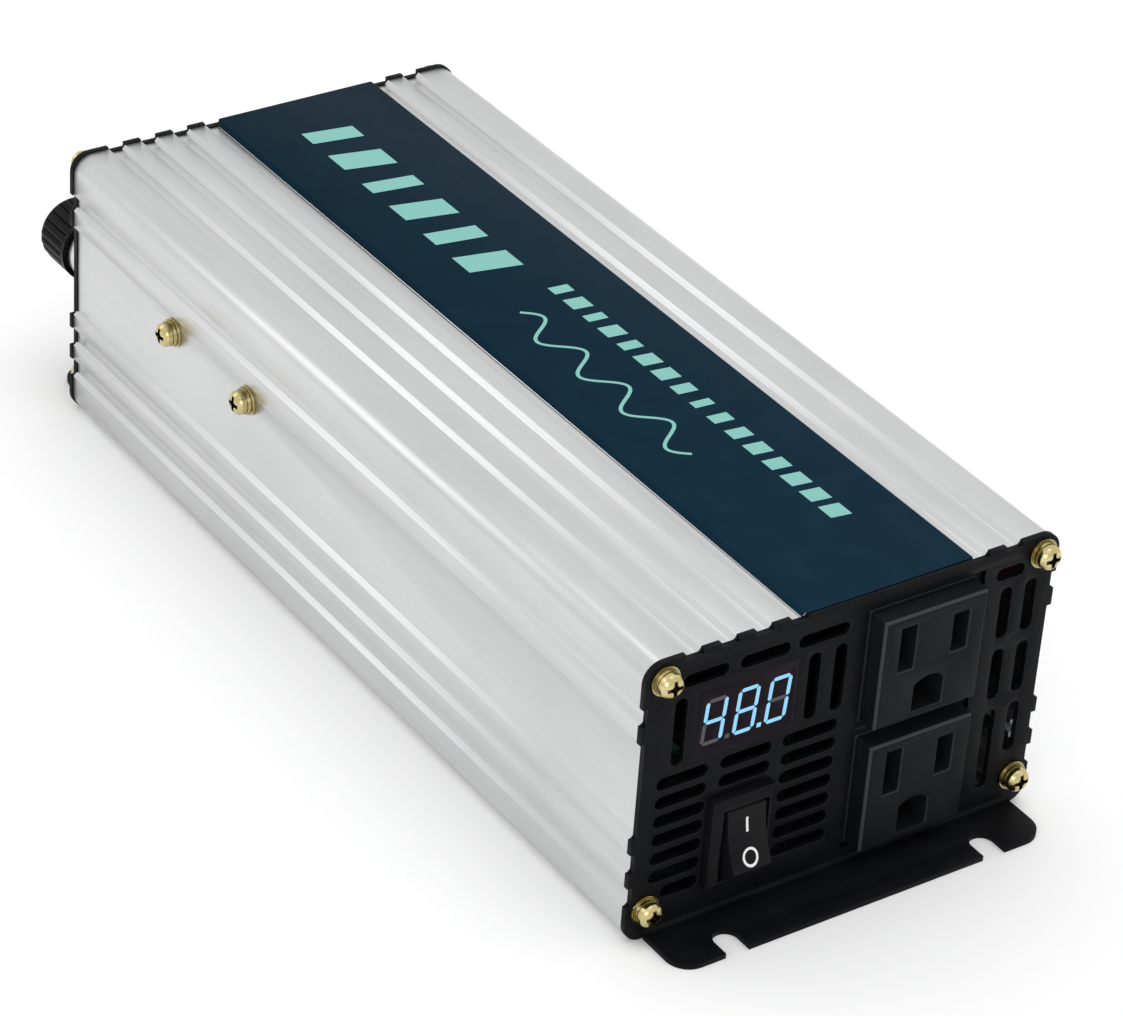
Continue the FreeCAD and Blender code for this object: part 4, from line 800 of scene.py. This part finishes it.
def threaded_screws(growth):
    rows = (("plate_screws", 1, M3_HEAD_RADIUS, M3_HEAD_HEIGHT, M3_RADIUS, M3_PITCH),
            ("side_screws", 0, M3_HEAD_RADIUS, M3_HEAD_HEIGHT, M3_RADIUS, M3_PITCH),
            ("fan_screws", 1, M4_HEAD_RADIUS, M4_HEAD_HEIGHT, M4_RADIUS, M4_PITCH))
    for node, axis, head_radius, head_height, radius, pitch in rows:
        screws = screw_seats(node, axis)
        seats = [(crown - way * head_height, way) for crown, way, length in screws]
        length = max(length for crown, way, length in screws)
        sizes = {"Head Radius": head_radius, "Head Height": head_height, "Shank Radius": radius,
                 "Shank Length": length - head_height, "Thread Pitch": pitch}
        mesh = grow(node, growth, sizes, seats)
        add_piece(node + "_threaded", mesh, "case", slot_of[node], stands_for=(node,), crease=30)


def fan_guard():
    mesh = grow("fan_guard", guard_wires())
    mesh.transform(aimed_back("fan_guard"))
    add_piece("fan_guard_wires", mesh, "case", "black_plate", stands_for=("fan_guard",), crease=60)


def knobs():
    growth = ribbed_knob()
    for colour, slot in (("black", "knob_plastic"), ("red", "red_plastic")):
        node = colour + "_knob"
        low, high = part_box(node)
        mesh = grow(node, growth, {"Radius": (high.x - low.x) / 2, "Length": high.y - low.y})
        mesh.transform(aimed_back(node))
        add_piece(node + "_ribbed", mesh, body_of[node], slot, stands_for=(node,), crease=50)


def choke():
    low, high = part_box("choke_winding")
    middle = (low + high) / 2
    mesh = grow("choke_winding", toroid_winding())
    mesh.transform(Matrix.Translation(middle) @ Matrix.Rotation(math.radians(90), 4, "Y"))
    add_piece("choke_wire", mesh, "case", "copper", stands_for=("choke_winding",), crease=60)


def board_chips():
    growth = chip_field()
    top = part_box("main_board")[1].z
    for name, x in (("left_chips", -27 * MM), ("right_chips", 27 * MM)):
        mesh = grow(name, growth)
        mesh.transform(Matrix.Translation((x, 4 * MM, top)))
        add_piece(name, mesh, "case", "moulded_case", crease=30)


def print_on_label():
    """Leaning bars and a sine trace in ink, just proud of the label's film."""
    low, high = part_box("label_strip")
    top = high.z + FILM
    width = high.x - low.x
    centre = (low.x + high.x) / 2
    rearward = Matrix.Rotation(math.radians(-90), 4, "Z")
    bars, wave = slanted_bars(), wave_line()
    # name, tree, sizes, and where its row starts: across the label and along the case
    rows = (("label_bars", bars, {"Count": 6, "Step": 12.6 * MM, "Bar Width": 7.6 * MM, "Bar Height": 12 * MM,
                                  "Lean": 0.22, "Uneven": 0.45}, centre - 0.02 * width, 92 * MM),
            ("label_fine_bars", bars, {"Count": 16, "Step": 6.4 * MM, "Bar Width": 4.6 * MM,
                                       "Bar Height": 4.6 * MM, "Lean": 0.15, "Uneven": 0.5},
             centre + 0.16 * width, 12 * MM),
            ("label_wave", wave, {"Length": 62 * MM, "Height": 3.4 * MM, "Waves": 4.0, "Width": 0.8 * MM},
             centre - 0.16 * width, 8 * MM))
    for name, growth, sizes, x, y in rows:
        mesh = grow(name, growth, sizes)
        mesh.transform(Matrix.Translation((x, y, top)) @ rearward)
        add_piece(name, mesh, "case", "label_film", ink)


def rocker_marks():
    """On and off marks printed on the rocker: an upright bar above, a ring below."""
    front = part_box("rocker_paddle")[0].y - STAND_OFF
    shape = cad["rocker_paddle"].data
    paddle = BVHTree.FromPolygons([v.co for v in shape.vertices], [f.vertices for f in shape.polygons])
    marks = []
    for n in range(BAR_STEPS + 1):
        z = BAR_FOOT + BAR_LENGTH * n / BAR_STEPS
        marks += [(MARKS_X - BAR_HALF_WIDTH, z), (MARKS_X + BAR_HALF_WIDTH, z)]
    faces = [(2 * n, 2 * n + 1, 2 * n + 3, 2 * n + 2) for n in range(BAR_STEPS)]
    start = len(marks)
    for radius in (RING_OUTER, RING_INNER):
        for n in range(RING_STEPS):
            angle = 2 * math.pi * n / RING_STEPS
            marks.append((MARKS_X + radius * math.cos(angle), RING_Z + radius * math.sin(angle)))
    for n in range(RING_STEPS):
        outer, outer_next = start + n, start + (n + 1) % RING_STEPS
        faces.append((outer, outer_next, outer_next + RING_STEPS, outer + RING_STEPS))
    points = []
    for x, z in marks:
        hit = paddle.ray_cast(Vector((x, front, z)), Vector((0, 1, 0)))[0]
        points.append((x, hit.y - FILM, z))
    mesh = bpy.data.meshes.new("rocker_marks")
    mesh.from_pydata(points, [], faces)
    add_piece("rocker_marks", mesh, "rocker", "rocker_plastic", white)


def camera():
    data = bpy.data.cameras.new("camera")
    data.lens = CAMERA_LENS
    data.sensor_width = 36.0
    data.clip_end = 20.0
    eye = bpy.data.objects.new("camera", data)
    bpy.context.scene.collection.objects.link(eye)
    azimuth, elevation = math.radians(CAMERA_AZIMUTH), math.radians(CAMERA_ELEVATION)
    roll = Quaternion((0, 0, 1), math.radians(CAMERA_ROLL))
    level = math.cos(elevation)
    ahead = Vector((-math.sin(azimuth) * level, math.cos(azimuth) * level, -math.sin(elevation)))
    eye.rotation_mode = "QUATERNION"
    eye.rotation_quaternion = ahead.to_track_quat("-Z", "Y") @ roll
    eye.location = CAMERA_PLACE
    bpy.context.scene.camera = eye


def soft_light(name, way, distance, size, power):
    """A square lamp that faces the object from the given direction."""
    lamp = bpy.data.lights.new(name, "AREA")
    lamp.size = size
    lamp.energy = power
    thing = bpy.data.objects.new(name, lamp)
    bpy.context.scene.collection.objects.link(thing)
    way = Vector(way).normalized()
    thing.location = way * distance
    thing.rotation_mode = "QUATERNION"
    thing.rotation_quaternion = way.to_track_quat("Z", "Y")


def studio():
    world = bpy.data.worlds.new("studio")
    bpy.context.scene.world = world
    world.use_nodes = True
    backdrop = world.node_tree.nodes["Background"]
    backdrop.inputs["Color"].default_value = (1.0, 1.0, 1.0, 1.0)
    backdrop.inputs["Strength"].default_value = SKY_STRENGTH
    for name, (way, distance, size, power) in LAMPS.items():
        soft_light(name, way, distance, size, power)
    grid = bpy.data.meshes.new("floor")
    signs = ((-1, -1), (1, -1), (1, 1), (-1, 1))
    grid.from_pydata([(x * FLOOR_REACH, y * FLOOR_REACH, 0) for x, y in signs], [], [(0, 1, 2, 3)])
    floor = bpy.data.objects.new("floor", grid)
    bpy.context.scene.collection.objects.link(floor)
    floor.location.z = -FLOOR_DROP
    grid.materials.append(floor_paint())
    bpy.context.scene.view_settings.view_transform = "Standard"


camera()
paint_cad_nodes()
broken_edges()
threaded_screws(pan_screws())
fan_guard()
knobs()
choke()
board_chips()
print_on_label()
rocker_marks()
studio()

import json
